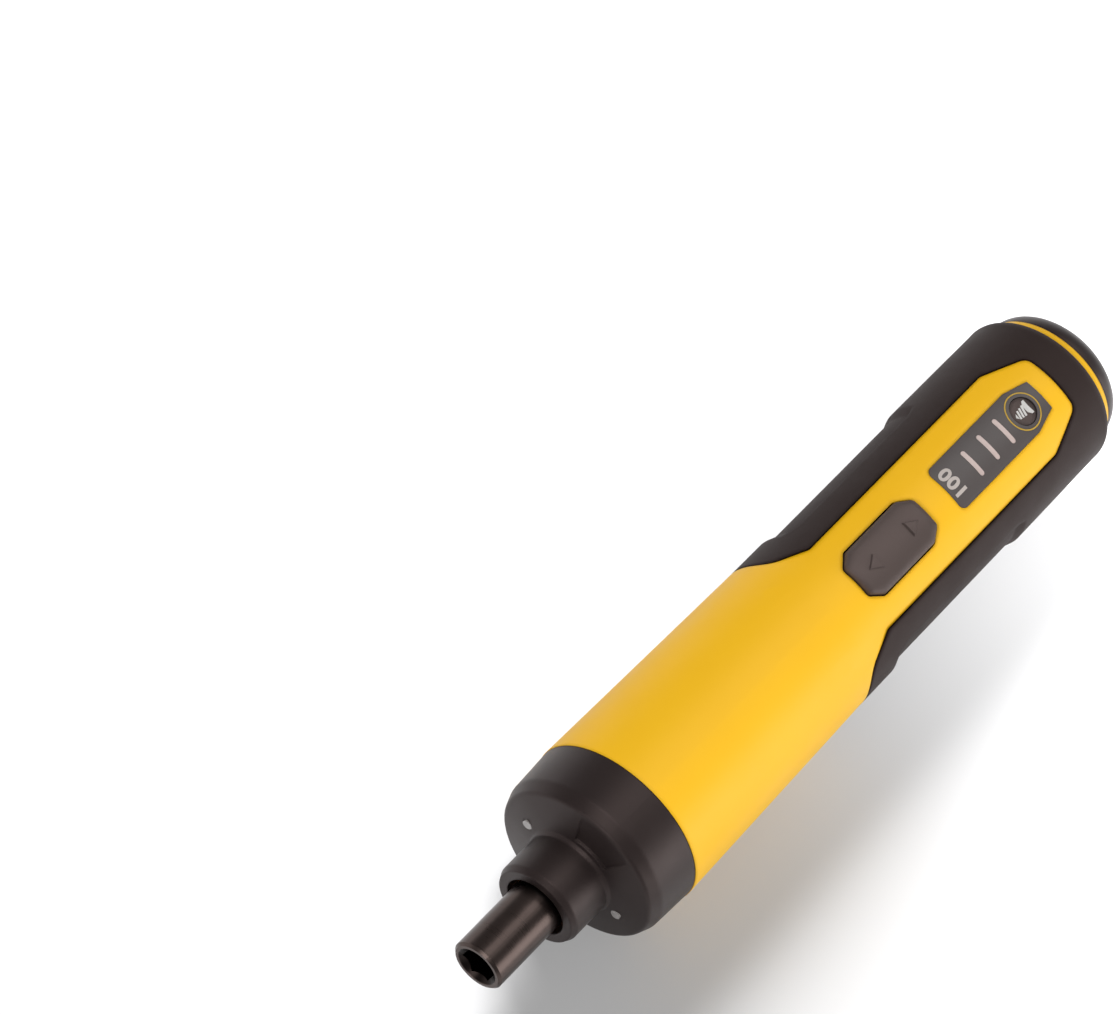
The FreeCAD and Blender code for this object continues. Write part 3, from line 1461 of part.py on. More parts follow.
def panel():
    body = node("indicator_panel", new_body("indicator_panel"))
    upright(body, "PanelBlock", [panel_outline("0")], "board_top", "panel_radius + crown_stock")
    trim(body, "PanelCrown", "panel_radius", "panel_front - far_radius", "panel_rear + far_radius")
    turn(body, "PanelUnderside", [
        ("panel_front - far_radius", "0"),
        ("panel_front - far_radius", "panel_floor"),
        ("panel_rear + far_radius", "panel_floor"),
        ("panel_rear + far_radius", "0"),
    ], cut=True)
    upright(body, "PanelBarSlots", bar_outlines("fit"), "board_top", "far_radius", cut=True)
    upright(body, "PanelButtonHole", [("circle", "button_centre", "0", "button_radius + button_gap")],
            "board_top", "far_radius", cut=True)
    upright(body, "PanelRingGroove", [("circle", "button_centre", "0", "button_ring_radius + fit"),
                                      ("circle", "button_centre", "0",
                                       "button_ring_radius - button_ring_width - fit")],
            "panel_radius - button_ring_depth", "far_radius", cut=True)

    guides = node("light_guides", new_body("light_guides"))
    upright(guides, "GuideBars", bar_outlines("0"), "board_top + bar_led_height + seat_gap",
            "panel_radius + crown_stock")
    trim(guides, "GuideCrown", "panel_radius", "panel_front - far_radius", "panel_rear + far_radius")

    ring = node("button_ring", new_body("button_ring"))
    upright(ring, "ButtonRingBand", [("circle", "button_centre", "0", "button_ring_radius"),
                                     ("circle", "button_centre", "0",
                                      "button_ring_radius - button_ring_width")],
            "panel_radius - button_ring_depth", "panel_radius + crown_stock")
    trim(ring, "ButtonRingCrown", "panel_radius", "panel_front - far_radius", "panel_rear + far_radius")

    button = new_body("ButtonBlank")
    upright(button, "ButtonFlange", [("circle", "button_centre", "0", "button_radius + button_flange")],
            "flange_base", "flange_top")
    upright(button, "ButtonCap", [("circle", "button_centre", "0", "button_radius")],
            "flange_top", "button_top")
    dish = doc.addObject("Part::Sphere", "ButtonDish")
    dish.setExpression("Radius", bound("dish_radius"))
    dish.setExpression("Placement.Base.x", bound("button_centre"))
    dish.setExpression("Placement.Base.z", bound("button_top - button_dish + dish_radius"))
    node("mode_button", joined("Cut", "ModeButton", button, dish))


bit_holder()
bit_magnet()
carrier("output_carrier", "spigot_radius + press_gap", "carrier_front", "carrier_rear")
pins("output_pins", "carrier_front", "second_rear + pin_stand")
first_carrier()
pins("first_pins", "disc_front", "first_rear + pin_stand")
gears()
nose_cap()
nose_pieces()
motor_fixed()
rotor()
upper_shell()
lower_shell()
housing_screws()
grips()
end_cap()
rear_pieces()
power()
leads()
switches()
rocker()
panel()
doc.recompute()

# Checks, then one file for each sub-part
for item in doc.Objects:
    if "Invalid" in item.State or "Error" in item.State:
        raise RuntimeError("%s did not build: %s" % (item.Name, item.State))
    if item.TypeId in ("PartDesign::Pocket", "PartDesign::Groove"):
        if item.Shape.Volume > item.BaseFeature.Shape.Volume - 1e-6:
            raise RuntimeError("%s cuts nothing" % item.Name)
for item in nodes:
    if item.Shape.isNull() or not item.Shape.isValid() or not item.Shape.Solids:
        raise RuntimeError("%s has no valid solid" % item.Label)

os.makedirs("parts", exist_ok=True)
for item in nodes:
    item.Shape.exportStep("parts/%s.step" % item.Label)
print("%d sub-parts written" % len(nodes))
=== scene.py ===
import json
import math

import bmesh
import bpy
from mathutils import Matrix, Vector

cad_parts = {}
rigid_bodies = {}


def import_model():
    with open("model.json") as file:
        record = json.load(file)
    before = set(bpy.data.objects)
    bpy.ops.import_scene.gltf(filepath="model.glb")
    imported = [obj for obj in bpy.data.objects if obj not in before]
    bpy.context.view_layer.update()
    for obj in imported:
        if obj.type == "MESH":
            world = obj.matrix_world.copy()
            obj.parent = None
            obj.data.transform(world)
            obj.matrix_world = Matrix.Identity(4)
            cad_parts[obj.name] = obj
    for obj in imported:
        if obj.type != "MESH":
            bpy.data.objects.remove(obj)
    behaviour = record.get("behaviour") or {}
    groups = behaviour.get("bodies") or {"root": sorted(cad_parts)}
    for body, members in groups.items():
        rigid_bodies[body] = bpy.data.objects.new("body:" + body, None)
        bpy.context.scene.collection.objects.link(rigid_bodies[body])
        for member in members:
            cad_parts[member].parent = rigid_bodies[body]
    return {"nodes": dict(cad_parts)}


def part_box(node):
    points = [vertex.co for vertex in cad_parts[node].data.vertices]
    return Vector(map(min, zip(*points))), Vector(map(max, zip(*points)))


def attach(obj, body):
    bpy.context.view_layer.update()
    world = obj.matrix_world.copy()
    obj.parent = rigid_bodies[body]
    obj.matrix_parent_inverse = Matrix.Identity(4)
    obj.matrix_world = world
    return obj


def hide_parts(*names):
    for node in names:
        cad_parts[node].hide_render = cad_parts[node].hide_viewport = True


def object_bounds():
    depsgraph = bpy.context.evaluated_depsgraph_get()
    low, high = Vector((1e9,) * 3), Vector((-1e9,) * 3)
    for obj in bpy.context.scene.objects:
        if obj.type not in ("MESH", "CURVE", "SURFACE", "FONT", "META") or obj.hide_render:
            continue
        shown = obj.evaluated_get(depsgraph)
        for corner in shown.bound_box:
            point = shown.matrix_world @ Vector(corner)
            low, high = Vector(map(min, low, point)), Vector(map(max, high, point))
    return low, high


# The electric screwdriver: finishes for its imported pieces, and the fine pieces that sit on them.
# Everything is in metres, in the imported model's frame: X runs from the bit socket to the end cap,
# and Z is up.

for leftover in list(bpy.data.objects):
    bpy.data.objects.remove(leftover)

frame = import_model()
cad_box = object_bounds()
nodes = frame["nodes"]
scene = bpy.context.scene
MM = 0.001


# Shader maths

def paint(red, green, blue):
    """A colour in screen values from 0 to 255, as the linear colour that a shader takes."""
    def linear(level):
        share = level / 255
        return share / 12.92 if share <= 0.04045 else ((share + 0.055) / 1.055) ** 2.4
    return (linear(red), linear(green), linear(blue), 1.0)


class Wire:
    """A socket of a finish. Sums on it add Math nodes."""

    def __init__(self, finish, socket):
        self.finish = finish
        self.socket = socket

    def sum(self, operation, first, second):
        return self.finish.add("ShaderNodeMath", {"operation": operation}, {0: first, 1: second})

    def __add__(self, other):
        return self.sum("ADD", self, other)

    def __radd__(self, other):
        return self.sum("ADD", other, self)

    def __sub__(self, other):
        return self.sum("SUBTRACT", self, other)

    def __rsub__(self, other):
        return self.sum("SUBTRACT", other, self)

    def __mul__(self, other):
        return self.sum("MULTIPLY", self, other)

    def __rmul__(self, other):
        return self.sum("MULTIPLY", other, self)

    def swing(self, width):
        """A noise of 0 to 1 as a swing of this width about nothing."""
        return (self - 0.5) * width


class Finish:
    """A material in the making, with one surface shader."""

    def __init__(self, name):
        self.material = bpy.data.materials.new(name)
        self.material.use_nodes = True
        self.tree = self.material.node_tree
        self.tree.nodes.clear()
        output = self.tree.nodes.new("ShaderNodeOutputMaterial")
        self.shader = self.tree.nodes.new("ShaderNodeBsdfPrincipled")
        self.shader.location = (-300, 0)
        self.tree.links.new(self.shader.outputs[0], output.inputs[0])
        self.place = self.add("ShaderNodeTexCoord", out="Object")

    def add(self, kind, settings=None, sockets=None, out=0):
        """Any node: its settings come first, then the values or wires of its sockets."""
        node = self.tree.nodes.new(kind)
        column, row = divmod(len(self.tree.nodes), 4)
        node.location = (-300 - 180 * column, -220 * row)
        for name, setting in (settings or {}).items():
            setattr(node, name, setting)
        for name, given in (sockets or {}).items():
            self.feed(node.inputs[name], given)
        return Wire(self, node.outputs[out])

    def feed(self, socket, given):
        if isinstance(given, Wire):
            self.tree.links.new(given.socket, socket)
        else:
            socket.default_value = given

    def mix(self, share, first, second):
        # Only numbers tell a Mix node's colour sockets from those of its other data types.
        factor, colour_a, colour_b, result = 0, 6, 7, 2
        sockets = {factor: share, colour_a: first, colour_b: second}
        return self.add("ShaderNodeMix", {"data_type": "RGBA"}, sockets, out=result)

    def noise(self, per_metre, detail, place=None):
        sockets = {"Vector": place or self.place, "Scale": per_metre, "Detail": detail}
        return self.add("ShaderNodeTexNoise", None, sockets)

    def stretched(self, along, across, up):
        """The place with each axis scaled, for a pattern that runs one way."""
        sockets = {"Vector": self.place, "Scale": (along, across, up)}
        return self.add("ShaderNodeMapping", None, sockets)

    def bump(self, height, strength, depth, normal=None):
        sockets = {"Height": height, "Strength": strength, "Distance": depth}
        if normal:
            sockets["Normal"] = normal
        return self.add("ShaderNodeBump", None, sockets)

    def surface(self, **sockets):
        """Sets or links the shader's own sockets; an underscore stands for a space."""
        for name, given in sockets.items():
            self.feed(self.shader.inputs[name.replace("_", " ")], given)
        return self.material


# Finishes

def moulded(name, colour, deep, roughness, grain, relief, edge=0.0, **constants):
    """Moulded plastic or rubber: a spark-eroded grain of this size, and a slow drift of colour and gloss.

    Where an edge is given, edges are shaded as if they were rounded to that radius.
    """
    finish = Finish(name)
    drift = finish.noise(per_metre=45.0, detail=3.0)
    pores = finish.noise(per_metre=1 / grain, detail=2.0)
    handled = finish.noise(per_metre=160.0, detail=4.0)
    tint = finish.mix(drift * 0.6 + pores * 0.25, deep, colour)
    gloss = roughness + handled.swing(0.14) + pores.swing(0.1)
    rounded = finish.add("ShaderNodeBevel", {"samples": 4}, {"Radius": edge}) if edge else None
    skin = finish.bump(pores, relief, depth=grain * 0.35, normal=rounded)
    return finish.surface(Base_Color=tint, Roughness=gloss, Normal=skin, **constants)


def turned_metal(name, colour, deep, roughness, relief, bore=0.0):
    """Turned bar: fine tool lines round the drive axis, a stain in patches, and painted shade darkening the
    inside of the bore.
    """
    finish = Finish(name)
    lines = finish.noise(per_metre=1.0, detail=2.0, place=finish.stretched(9000.0, 120.0, 120.0))
    stain = finish.noise(per_metre=260.0, detail=4.0)
    tint = finish.mix(lines * 0.2 + stain * 0.45, deep, colour)
    gloss = roughness + lines.swing(0.08) + stain.swing(0.12)
    if bore:
        off_axis = finish.add("ShaderNodeVectorMath", {"operation": "LENGTH"},
                              {0: finish.stretched(0.0, 1.0, 1.0)}, out="Value")
        painted_bore_shade = finish.add("ShaderNodeMapRange", {"interpolation_type": "SMOOTHSTEP"},
                            {"Value": off_axis, "From Min": bore * 0.96, "From Max": bore,
                             "To Min": 1.0, "To Max": 0.0})
        # Painted shade: within the bore's radius the colour is darkened towards near black, where shade
        # falls inside the socket.
        tint = finish.mix(painted_bore_shade * 0.8, tint, paint(14, 11, 10))
    return finish.surface(Base_Color=tint, Roughness=gloss, Metallic=1.0,
                          Normal=finish.bump(lines, relief, depth=0.02 * MM))


def worn_metal(name, colour, deep, roughness, grain):
    """Stamped, sintered or cut metal with a fine grain."""
    finish = Finish(name)
    grit = finish.noise(per_metre=1 / grain, detail=3.0)
    stain = finish.noise(per_metre=180.0, detail=4.0)
    tint = finish.mix(grit * 0.4 + stain * 0.4, deep, colour)
    return finish.surface(Base_Color=tint, Roughness=roughness + grit.swing(0.2), Metallic=1.0,
                          Normal=finish.bump(grit, strength=0.2, depth=grain * 0.3))


def clear_plastic(name, colour, deep, roughness, **constants):
    """Light guide or lens: pale, faintly cloudy and glossy."""
    finish = Finish(name)
    cloud = finish.noise(per_metre=900.0, detail=3.0)
    flow = finish.noise(per_metre=3000.0, detail=2.0)
    tint = finish.mix(cloud, deep, colour)
    return finish.surface(Base_Color=tint, Roughness=roughness + flow.swing(0.08), **constants)


def circuit_laminate(name):
    """Glass laminate under green varnish, with the weave just showing."""
    finish = Finish(name)
    weave = finish.add("ShaderNodeTexWave", {"wave_type": "BANDS"}, {"Vector": finish.place, "Scale": 900.0})
    cloud = finish.noise(per_metre=300.0, detail=3.0)
    tint = finish.mix(weave * 0.3 + cloud * 0.5, paint(12, 62, 40), paint(24, 98, 62))
    return finish.surface(Base_Color=tint, Roughness=0.3 + cloud * 0.15, Coat_Weight=0.4)


def printed_ink(name, colour, deep, roughness):
    """Pad-printed ink, a little uneven."""
    finish = Finish(name)
    speck = finish.noise(per_metre=5000.0, detail=2.0)
    tint = finish.mix(speck, deep, colour)
    return finish.surface(Base_Color=tint, Roughness=roughness + speck.swing(0.15))


WARM_SHEEN = (1.0, 0.78, 0.74, 1.0)
CONTROL_BLACK = {"colour": paint(78, 68, 65), "deep": paint(66, 57, 54), "roughness": 0.42,
                 "grain": 0.18 * MM, "relief": 0.2, "Specular_Tint": WARM_SHEEN}
FINISHES = {
    "yellow_plastic": moulded("housing_yellow", paint(252, 196, 22), paint(246, 186, 10), roughness=0.5,
                              grain=0.22 * MM, relief=0.16, edge=1.4 * MM, Specular_IOR_Level=0.3),
    "black_plastic": moulded("nose_black", paint(38, 31, 30), paint(31, 25, 25), roughness=0.42,
                             grain=0.2 * MM, relief=0.2, edge=0.5 * MM,
                             Specular_IOR_Level=0.36, Specular_Tint=WARM_SHEEN),
    "grip_rubber": moulded("grip_rubber_black", paint(46, 37, 35), paint(38, 30, 29), roughness=0.68,
                           grain=0.26 * MM, relief=0.3, edge=1.2 * MM,
                           Specular_IOR_Level=0.28, Specular_Tint=WARM_SHEEN),
    "control_plastic": moulded("rocker_black", edge=1.8 * MM, **CONTROL_BLACK),
    "panel_plastic": moulded("panel_grey", paint(80, 72, 70), paint(70, 63, 62), roughness=0.42,
                             grain=0.16 * MM, relief=0.1),
    "light_bar": clear_plastic("bar_milk", paint(205, 186, 180), paint(186, 166, 160), roughness=0.3),
    "clear_lens": clear_plastic("lens_milk", paint(168, 163, 160), paint(138, 132, 130), roughness=0.14,
                                Coat_Weight=0.6),
    # The holder's bore gets painted shade out to this radius.
    "black_steel": turned_metal("holder_black_steel", paint(98, 85, 81), paint(66, 57, 54), roughness=0.3,
                                relief=0.05, bore=4.2 * MM),
    "bright_steel": turned_metal("screw_steel", paint(196, 194, 190), paint(160, 158, 155), roughness=0.3,
                                 relief=0.1),
    "sintered_bronze": worn_metal("bush_bronze", paint(178, 128, 70), paint(132, 90, 46), roughness=0.5,
                                  grain=0.25 * MM),
    "gear_nylon": moulded("ring_gear_nylon", paint(228, 222, 206), paint(210, 204, 188), roughness=0.5,
                          grain=0.2 * MM, relief=0.1),
    "gear_steel": worn_metal("gear_grey_steel", paint(150, 148, 146), paint(112, 110, 108), roughness=0.42,
                             grain=0.18 * MM),
    "motor_steel": worn_metal("motor_zinc_steel", paint(186, 186, 184), paint(150, 150, 150), roughness=0.36,
                              grain=0.4 * MM),
    "magnet_ferrite": moulded("magnet_grey", paint(66, 64, 66), paint(48, 46, 48), roughness=0.7,
                              grain=0.15 * MM, relief=0.3),
    "copper": worn_metal("winding_copper", paint(206, 122, 72), paint(168, 92, 50), roughness=0.32,
                         grain=0.3 * MM),
    "carbon": moulded("brush_carbon", paint(40, 40, 42), paint(28, 28, 30), roughness=0.6,
                      grain=0.1 * MM, relief=0.3),
    "board_laminate": circuit_laminate("board_green"),
    "led_white": clear_plastic("led_cream", paint(236, 226, 190), paint(220, 206, 160), roughness=0.25,
                               Coat_Weight=0.5),
    "cell_wrap": moulded("cell_sleeve_blue", paint(44, 92, 150), paint(34, 76, 128), roughness=0.3,
                         grain=0.6 * MM, relief=0.05),
    "nickel": worn_metal("contact_nickel", paint(202, 198, 190), paint(168, 164, 156), roughness=0.28,
                         grain=0.3 * MM),
    "lead_insulation": moulded("lead_silicone_red", paint(172, 46, 38), paint(142, 32, 26), roughness=0.5,
                               grain=0.3 * MM, relief=0.1),
}
PALE_INK = printed_ink("panel_pale_ink", paint(196, 186, 180), paint(178, 168, 162), roughness=0.5)
SILVER_INK = printed_ink("button_silver_ink", paint(222, 220, 216), paint(190, 188, 184), roughness=0.34)
SIGN_BLACK = moulded("rocker_sign_black", **CONTROL_BLACK)
RING_YELLOW = moulded("button_ring_dull_yellow", paint(206, 168, 58), paint(188, 150, 44), roughness=0.5,
                      grain=0.2 * MM, relief=0.1)
CONTACT_GOLD = worn_metal("contact_gold", paint(226, 182, 92), paint(196, 150, 66), roughness=0.26,
                          grain=0.2 * MM)

for cad_node in nodes.values():
    for holder in cad_node.material_slots:
        holder.material = FINISHES[holder.material.name]
nodes["button_ring"].material_slots[0].material = RING_YELLOW


# Making a piece

def in_scene(name, data):
    """A new object in the scene, with this mesh, text, lamp or camera."""
    thing = bpy.data.objects.new(name, data)
    scene.collection.objects.link(thing)
    return thing


def piece(name, mesh, body, finish=None):
    """A finished mesh as an object that rides on a body."""
    thing = in_scene(name, mesh)
    if finish:
        mesh.materials.clear()
        mesh.materials.append(finish)
    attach(thing, body)
    return thing


def evaluated_mesh(thing):
    """The mesh that an object's modifiers give, as plain data; the object itself goes."""
    bpy.context.view_layer.update()
    graph = bpy.context.evaluated_depsgraph_get()
    mesh = bpy.data.meshes.new_from_object(thing.evaluated_get(graph))
    mesh.name = thing.name
    bpy.data.objects.remove(thing)
    return mesh


def mesh_of(form, name):
    mesh = bpy.data.meshes.new(name)
    bmesh.ops.recalc_face_normals(form, faces=form.faces)
    form.to_mesh(mesh)
    form.free()
    return mesh


def walls(form, bottom, top):
    """Adds the faces between two rings of vertices."""
    for index in range(len(bottom)):
        after = (index + 1) % len(bottom)
        form.faces.new((bottom[index], bottom[after], top[after], top[index]))


def prism(form, outline, low, high):
    """Adds a closed prism over an outline of (x, y) points, run anticlockwise."""
    bottom = [form.verts.new((x, y, low)) for x, y in outline]
    top = [form.verts.new((x, y, high)) for x, y in outline]
    form.faces.new(list(reversed(bottom)))
    form.faces.new(top)
    walls(form, bottom, top)


def inset(outline, width):
    """An outline drawn in by a width, corner by corner."""
    drawn = []
    count = len(outline)
    for index in range(count):
        before, here, after = (Vector(outline[(index + step) % count]) for step in (-1, 0, 1))
        first = (here - before).normalized()
        second = (after - here).normalized()
        left_first = Vector((-first.y, first.x))
        left_second = Vector((-second.y, second.x))
        bisector = (left_first + left_second).normalized()
        drawn.append(tuple(here + bisector * width / bisector.dot(left_first)))
    return drawn


class Growth:
    """A Geometry Nodes tree in the making, with named inputs for its sizes."""

    def __init__(self, name, inputs):
        self.tree = bpy.data.node_groups.new(name, "GeometryNodeTree")
        face = self.tree.interface
        for title, kind in inputs.items():
            face.new_socket(title, in_out="INPUT", socket_type="NodeSocket" + kind)
        face.new_socket("Geometry", in_out="OUTPUT", socket_type="NodeSocketGeometry")
        self.given = self.tree.nodes.new("NodeGroupInput").outputs

    def add(self, kind, settings=None, sockets=None):
        """The first output of any node: its settings come first, then the values or links of its sockets."""
        node = self.tree.nodes.new(kind)
        for name, setting in (settings or {}).items():
            setattr(node, name, setting)
        for name, given in (sockets or {}).items():
            if isinstance(given, bpy.types.NodeSocket):
                self.tree.links.new(given, node.inputs[name])
            else:
                node.inputs[name].default_value = given
        return node.outputs[0]

    def sum(self, operation, first, second):
        return self.add("ShaderNodeMath", {"operation": operation}, {0: first, 1: second})

    def joined(self, *forms):
        node = self.tree.nodes.new("GeometryNodeJoinGeometry")
        for form in forms:
            self.tree.links.new(form, node.inputs["Geometry"])
        return node.outputs["Geometry"]

    def lifted(self, form, height):
        place = self.add("ShaderNodeCombineXYZ", None, {"Z": height})
        return self.add("GeometryNodeTransform", None, {"Geometry": form, "Translation": place})

    def planted(self, points, form, **sockets):
        """Ends the tree: the form on each point, made real, in the given finish."""
        spread = self.add("GeometryNodeInstanceOnPoints", None,
                          {"Points": points, "Instance": form, **sockets})
        real = self.add("GeometryNodeRealizeInstances", None, {"Geometry": spread})
        coat = self.add("GeometryNodeSetMaterial", None,
                        {"Geometry": real, "Material": self.given["Finish"]})
        self.tree.links.new(coat, self.tree.nodes.new("NodeGroupOutput").inputs["Geometry"])
        return self.tree


def grown(name, tree, sizes, points=None):
    """The mesh that a tree grows from these named sizes, and on these points where it has any."""
    thing = in_scene(name + "_form", bpy.data.meshes.new(name) if points is None else points)
    growth = thing.modifiers.new(name, "NODES")
    growth.node_group = tree
    for item in tree.interface.items_tree:
        if item.in_out == "INPUT" and item.name in sizes:
            growth[item.identifier] = sizes[item.name]
    return evaluated_mesh(thing)


# Rocker: a raised triangle towards each end

def rocker_signs():
    low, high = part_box("rocker")
    middle, crown = (low.x + high.x) / 2, high.z
    base, apex, half = 4.6 * MM, 7.7 * MM, 1.85 * MM
    rise, sunk, slope = 0.42 * MM, 0.1 * MM, 0.26 * MM

    def on_crown(outline, lift):
        return [(x, y, math.sqrt(crown ** 2 - y ** 2) + lift) for x, y in outline]

    form = bmesh.new()
    for way in (-1, 1):
        foot = [(middle + way * base, 0.0), (middle + way * base, -way * half),
                (middle + way * apex, 0.0), (middle + way * base, way * half)]
        top = [form.verts.new(place) for place in on_crown(inset(foot, slope), rise)]
        bottom = [form.verts.new(place) for place in on_crown(foot, -sunk)]
        for near, far in ((1, 2), (2, 3)):
            form.faces.new((top[0], top[near], top[far]))
            form.faces.new((bottom[0], bottom[far], bottom[near]))
        walls(form, bottom, top)
    mesh = mesh_of(form, "rocker_signs")
    piece("rocker_signs", mesh, "rocker_switch", SIGN_BLACK)


# Panel: a plain number before the bars

def panel_number():
    low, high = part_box("indicator_panel")
    radius = high.z
    from_front, sunk = 2.5 * MM, 0.03 * MM
    letters = bpy.data.curves.new("panel_number_text", "FONT")
    letters.body = "100"
    letters.align_x = "CENTER"
    letters.align_y = "CENTER"
    letters.size = 4.1 * MM
    letters.offset = 0.15 * MM
    letters.space_character = 1.06
    letters.extrude = 0.06 * MM
    mesh = evaluated_mesh(in_scene("panel_number_form", letters))
    across = Matrix.Rotation(math.radians(90), 4, "Z")
    mesh.transform(Matrix.Translation((low.x + from_front, 0, 0)) @ across)
    for vertex in mesh.vertices:
        vertex.co.z += math.sqrt(radius ** 2 - vertex.co.y ** 2) - sunk
    piece("panel_number", mesh, "housing", PALE_INK)


# Rows of plates: thread stripes on the button, contact fingers in the socket

def plate_row_tree():
    """A row of flat plates, each a little narrower than the one before."""
    row = Growth("plate_row", {"Count": "Int", "Start": "Vector", "Step": "Vector", "Plate": "Vector",
                               "Slant": "Float", "Narrowing": "Float", "Finish": "Material"})
    given = row.given
    line = row.add("GeometryNodeMeshLine", None, {"Count": given["Count"], "Start Location": given["Start"],
                                                  "Offset": given["Step"]})
    plate = row.add("GeometryNodeMeshCube", None, {"Size": given["Plate"]})
    slanted = row.add("ShaderNodeCombineXYZ", None, {"Z": given["Slant"]})
    lost = row.sum("MULTIPLY", row.add("GeometryNodeInputIndex"), given["Narrowing"])
    left = row.sum("SUBTRACT", 1.0, lost)
    narrowed = row.add("ShaderNodeCombineXYZ", None, {"X": 1.0, "Y": left, "Z": 1.0})
    return row.planted(line, plate, Rotation=slanted, Scale=narrowed)


def settled_in_dish(mesh, middle, rim):
    """Lowers a flat mark onto the button's hollow, a part of a ball."""
    reach, depth = 2.6 * MM, 0.45 * MM
    ball = (reach ** 2 + depth ** 2) / (2 * depth)
    for vertex in mesh.vertices:
        away = (vertex.co.x - middle) ** 2 + vertex.co.y ** 2
        vertex.co.z += rim - depth + ball - math.sqrt(ball ** 2 - away)
    return mesh


def button_pictogram(row):
    """A generic screw on the button's dish: head to the rear, thread stripes, point to the nose."""
    low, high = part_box("mode_button")
    middle, rim = (low.x + high.x) / 2, high.z
    under, over = -0.06 * MM, 0.05 * MM
    first_stripe, pitch, stripe_width, stripe_length = 0.55 * MM, 0.72 * MM, 0.44 * MM, 2.2 * MM
    # Outlines in millimetres from the button's middle
    head = [(1.0, -0.75), (1.45, -1.55), (1.95, -1.55), (1.95, 0.0),
            (1.95, 1.55), (1.45, 1.55), (1.0, 0.75), (1.0, 0.0)]
    tip = [(-2.0, 0.0), (-1.4, -0.6), (-1.4, 0.6)]
    form = bmesh.new()
    for outline in (head, tip):
        prism(form, [(middle + x * MM, y * MM) for x, y in outline], under, over)
    bmesh.ops.triangulate(form, faces=form.faces)
    mark = settled_in_dish(mesh_of(form, "button_screw_mark"), middle, rim)
    piece("button_screw_mark", mark, "mode_push_button", SILVER_INK)
    stripes = grown("button_thread_mark", row, {
        "Count": 3, "Start": (middle + first_stripe, 0, (under + over) / 2), "Step": (-pitch, 0, 0),
        "Plate": (stripe_width, stripe_length, over - under), "Slant": math.radians(-18),
        "Narrowing": 0.1, "Finish": SILVER_INK})
    thread = settled_in_dish(stripes, middle, rim)
    piece("button_thread_mark", thread, "mode_push_button")


def socket_contacts(row):
    """Gold fingers on both faces of the charging socket's contact tongue."""
    low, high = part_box("usb_contact_tongue")
    count, from_side, from_mouth = 12, 0.4 * MM, 2.2 * MM
    length, width, thickness = 3.4 * MM, 0.28 * MM, 0.08 * MM
    step = (high.y - low.y - 2 * from_side) / (count - 1)
    for side, level in (("upper", high.z), ("lower", low.z)):
        fingers = grown("socket_fingers_" + side, row, {
            "Count": count, "Start": (high.x - from_mouth, low.y + from_side, level), "Step": (0, step, 0),
            "Plate": (length, width, thickness), "Slant": 0.0, "Narrowing": 0.0, "Finish": CONTACT_GOLD})
        piece("socket_fingers_" + side, fingers, "housing")


# Housing screws with a star drive

def star_screw_tree():
    """Pan-head screws with a six-pointed star drive, standing head down on the given points."""
    screw = Growth("star_screws", {"Geometry": "Geometry", "Head radius": "Float", "Head height": "Float",
                                   "Shank radius": "Float", "Shank length": "Float",
                                   "Drive radius": "Float", "Drive depth": "Float", "Finish": "Material"})
    given = screw.given

    def times(size, factor):
        return screw.sum("MULTIPLY", given[size], factor)

    head = screw.add("GeometryNodeMeshCone", None, {
        "Vertices": 48, "Radius Bottom": times("Head radius", 0.86), "Radius Top": given["Head radius"],
        "Depth": given["Head height"]})
    star = screw.add("GeometryNodeCurveStar", None, {
        "Points": 6, "Outer Radius": given["Drive radius"], "Inner Radius": times("Drive radius", 0.72)})
    sole = screw.add("GeometryNodeFillCurve", {"mode": "NGONS"}, {"Curve": star})
    raised = screw.add("GeometryNodeExtrudeMesh", None, {
        "Individual": False, "Mesh": sole, "Offset Scale": times("Drive depth", 2.0)})
    flipped = screw.add("GeometryNodeFlipFaces", None, {"Mesh": sole})
    closed = screw.add("GeometryNodeMergeByDistance", None, {
        "Distance": 0.001 * MM, "Geometry": screw.joined(raised, flipped)})
    bored = screw.add("GeometryNodeMeshBoolean", {"operation": "DIFFERENCE"}, {
        "Mesh 1": head, "Mesh 2": screw.lifted(closed, times("Drive depth", -1.0))})
    shank = screw.add("GeometryNodeMeshCylinder", None, {
        "Vertices": 24, "Radius": given["Shank radius"], "Depth": given["Shank length"]})
    rise = screw.sum("ADD", given["Head height"], times("Shank length", 0.5))
    return screw.planted(given["Geometry"], screw.joined(bored, screw.lifted(shank, rise)))


def housing_screws():
    low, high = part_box("housing_screws")
    head_radius, head_height = 2.0 * MM, 1.8 * MM
    places = bpy.data.meshes.new("housing_screw_places")
    places.from_pydata([(x, y, low.z) for x in (low.x + head_radius, high.x - head_radius)
                        for y in (low.y + head_radius, high.y - head_radius)], [], [])
    mesh = grown("housing_screws", star_screw_tree(), {
        "Head radius": head_radius, "Head height": head_height, "Shank radius": 1.1 * MM,
        "Shank length": high.z - low.z - head_height, "Drive radius": 1.1 * MM, "Drive depth": 0.9 * MM,
        "Finish": FINISHES["bright_steel"]}, points=places)
    mesh.shade_smooth()
    mesh.set_sharp_from_angle(angle=math.radians(32))
    screws = piece("star_drive_screws", mesh, "housing")
    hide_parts("housing_screws")


rocker_signs()
panel_number()
plate_row = plate_row_tree()
button_pictogram(plate_row)
socket_contacts(plate_row)
housing_screws()


# Stage

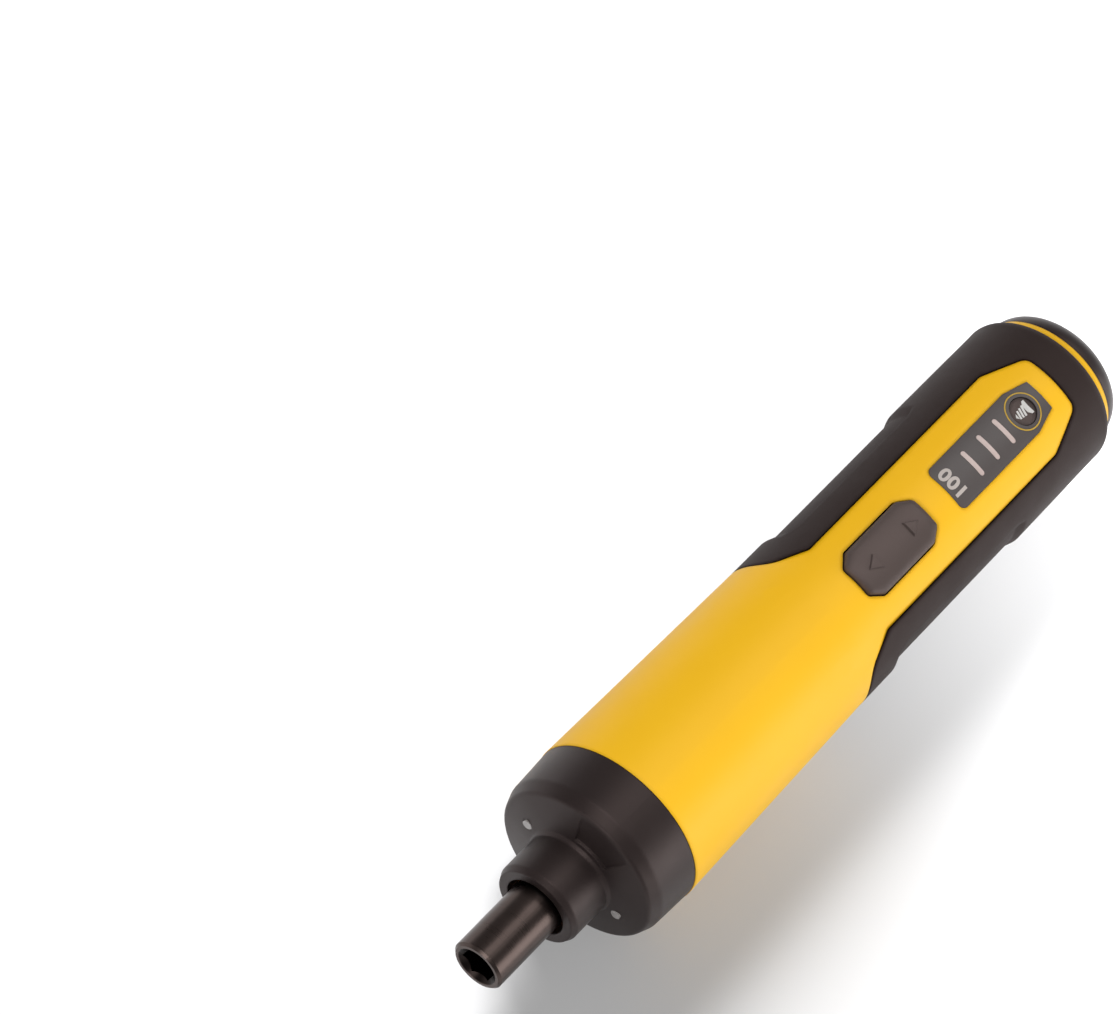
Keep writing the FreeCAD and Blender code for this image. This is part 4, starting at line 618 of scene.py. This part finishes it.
def studio_floor():
    """A white floor that keeps the shadow; rays from the camera, and those off gloss, find it brighter."""
    half_width, middle, clearance, brighter = 6.0, 0.1, 0.2 * MM, 0.26
    form = bmesh.new()
    bmesh.ops.create_grid(form, x_segments=1, y_segments=1, size=half_width)
    bmesh.ops.translate(form, verts=form.verts, vec=(middle, 0, cad_box[0].z - clearance))
    floor = in_scene("studio_floor", mesh_of(form, "studio_floor"))
    finish = Finish("floor_white")
    cloud = finish.noise(per_metre=3.0, detail=2.0)
    tint = finish.mix(cloud, paint(190, 190, 191), paint(194, 194, 195))
    camera, glossy, clear = (finish.add("ShaderNodeLightPath", out=ray)
                             for ray in ("Is Camera Ray", "Is Glossy Ray", "Is Transmission Ray"))
    glow = finish.mix(camera + glossy + clear, (0.0, 0.0, 0.0, 1.0), (brighter, brighter, brighter, 1.0))
    floor.data.materials.append(finish.surface(Base_Color=tint, Roughness=0.9, Specular_IOR_Level=0.1,
                                               Emission_Color=glow, Emission_Strength=1.0))
    return floor


def share_of_light(name, floor, state):
    """What a lamp lights: the floor alone, or all but the floor."""
    lights = bpy.data.collections.new(name)
    lights.objects.link(floor)
    lights.collection_objects[0].light_linking.link_state = state
    return lights


def hung(lamp, place, target, power, lights):
    """Puts a lamp at its place, turned to its target, for the things that it lights."""
    lamp.energy = power
    thing = in_scene(lamp.name, lamp)
    thing.location = place
    thing.rotation_euler = (Vector(target) - Vector(place)).to_track_quat("-Z", "Y").to_euler()
    thing.light_linking.receiver_collection = lights


def softbox(name, place, width, height, power, lights):
    """A soft lamp, turned to the middle of the tool."""
    tool_middle = (0.09, 0.0, 0.0)
    lamp = bpy.data.lights.new(name, "AREA")
    lamp.shape = "RECTANGLE"
    lamp.size = width
    lamp.size_y = height
    hung(lamp, place, tool_middle, power, lights)


def fill_spot(name, place, target, degrees, power, lights):
    """A soft round patch of light, which thins the shadow where it falls."""
    lamp = bpy.data.lights.new(name, "SPOT")
    lamp.spot_size = math.radians(degrees)
    lamp.spot_blend = 1.0
    lamp.shadow_soft_size = 0.06
    hung(lamp, place, target, power, lights)


def studio_world(level):
    world = bpy.data.worlds.new("studio_world")
    world.use_nodes = True
    back = world.node_tree.nodes["Background"]
    back.inputs["Color"].default_value = (1.0, 1.0, 1.0, 1.0)
    back.inputs["Strength"].default_value = level
    scene.world = world


def photo_camera():
    """The photograph's view: a long lens above the nose, rolled so that the tool runs up to the right."""
    lens = bpy.data.cameras.new("photo_camera")
    lens.sensor_fit = "HORIZONTAL"
    lens.sensor_width = 36.0
    lens.lens = 161.6
    lens.clip_start = 0.01
    lens.clip_end = 20.0
    right = Vector((0.6222, -0.7009, 0.3487))
    up = Vector((0.6009, 0.7131, 0.3611))
    back = right.cross(up)
    place = Vector((-0.3831, 0.0344, 0.7932))
    turn = Matrix((right, up, back)).transposed().to_4x4()
    thing = in_scene("photo_camera", lens)
    thing.matrix_world = Matrix.Translation(place) @ turn
    scene.camera = thing


floor = studio_floor()
on_tool = share_of_light("lit_without_floor", floor, "EXCLUDE")
on_floor = share_of_light("lit_floor", floor, "INCLUDE")
softbox("side_softbox", (0.5, -0.9, 0.32), width=1.4, height=0.6, power=8.0, lights=on_tool)
softbox("top_softbox", (0.0, 0.25, 1.0), width=0.5, height=0.5, power=3.4, lights=on_tool)
softbox("rear_softbox", (0.8, 0.1, 0.9), width=0.7, height=0.7, power=3.0, lights=on_tool)
softbox("front_softbox", (-0.88, 0.16, 0.6), width=0.5, height=0.36, power=3.6, lights=on_tool)
softbox("floor_softbox", (1.5, 2.2, 2.1), width=1.3, height=1.3, power=245.0, lights=on_floor)
fill_spot("floor_fill", (0.38, -0.42, 0.42), (0.198, -0.055, cad_box[0].z), degrees=17.0, power=42.0,
          lights=on_floor)
studio_world(level=0.26)
photo_camera()

scene.view_settings.view_transform = "Standard"
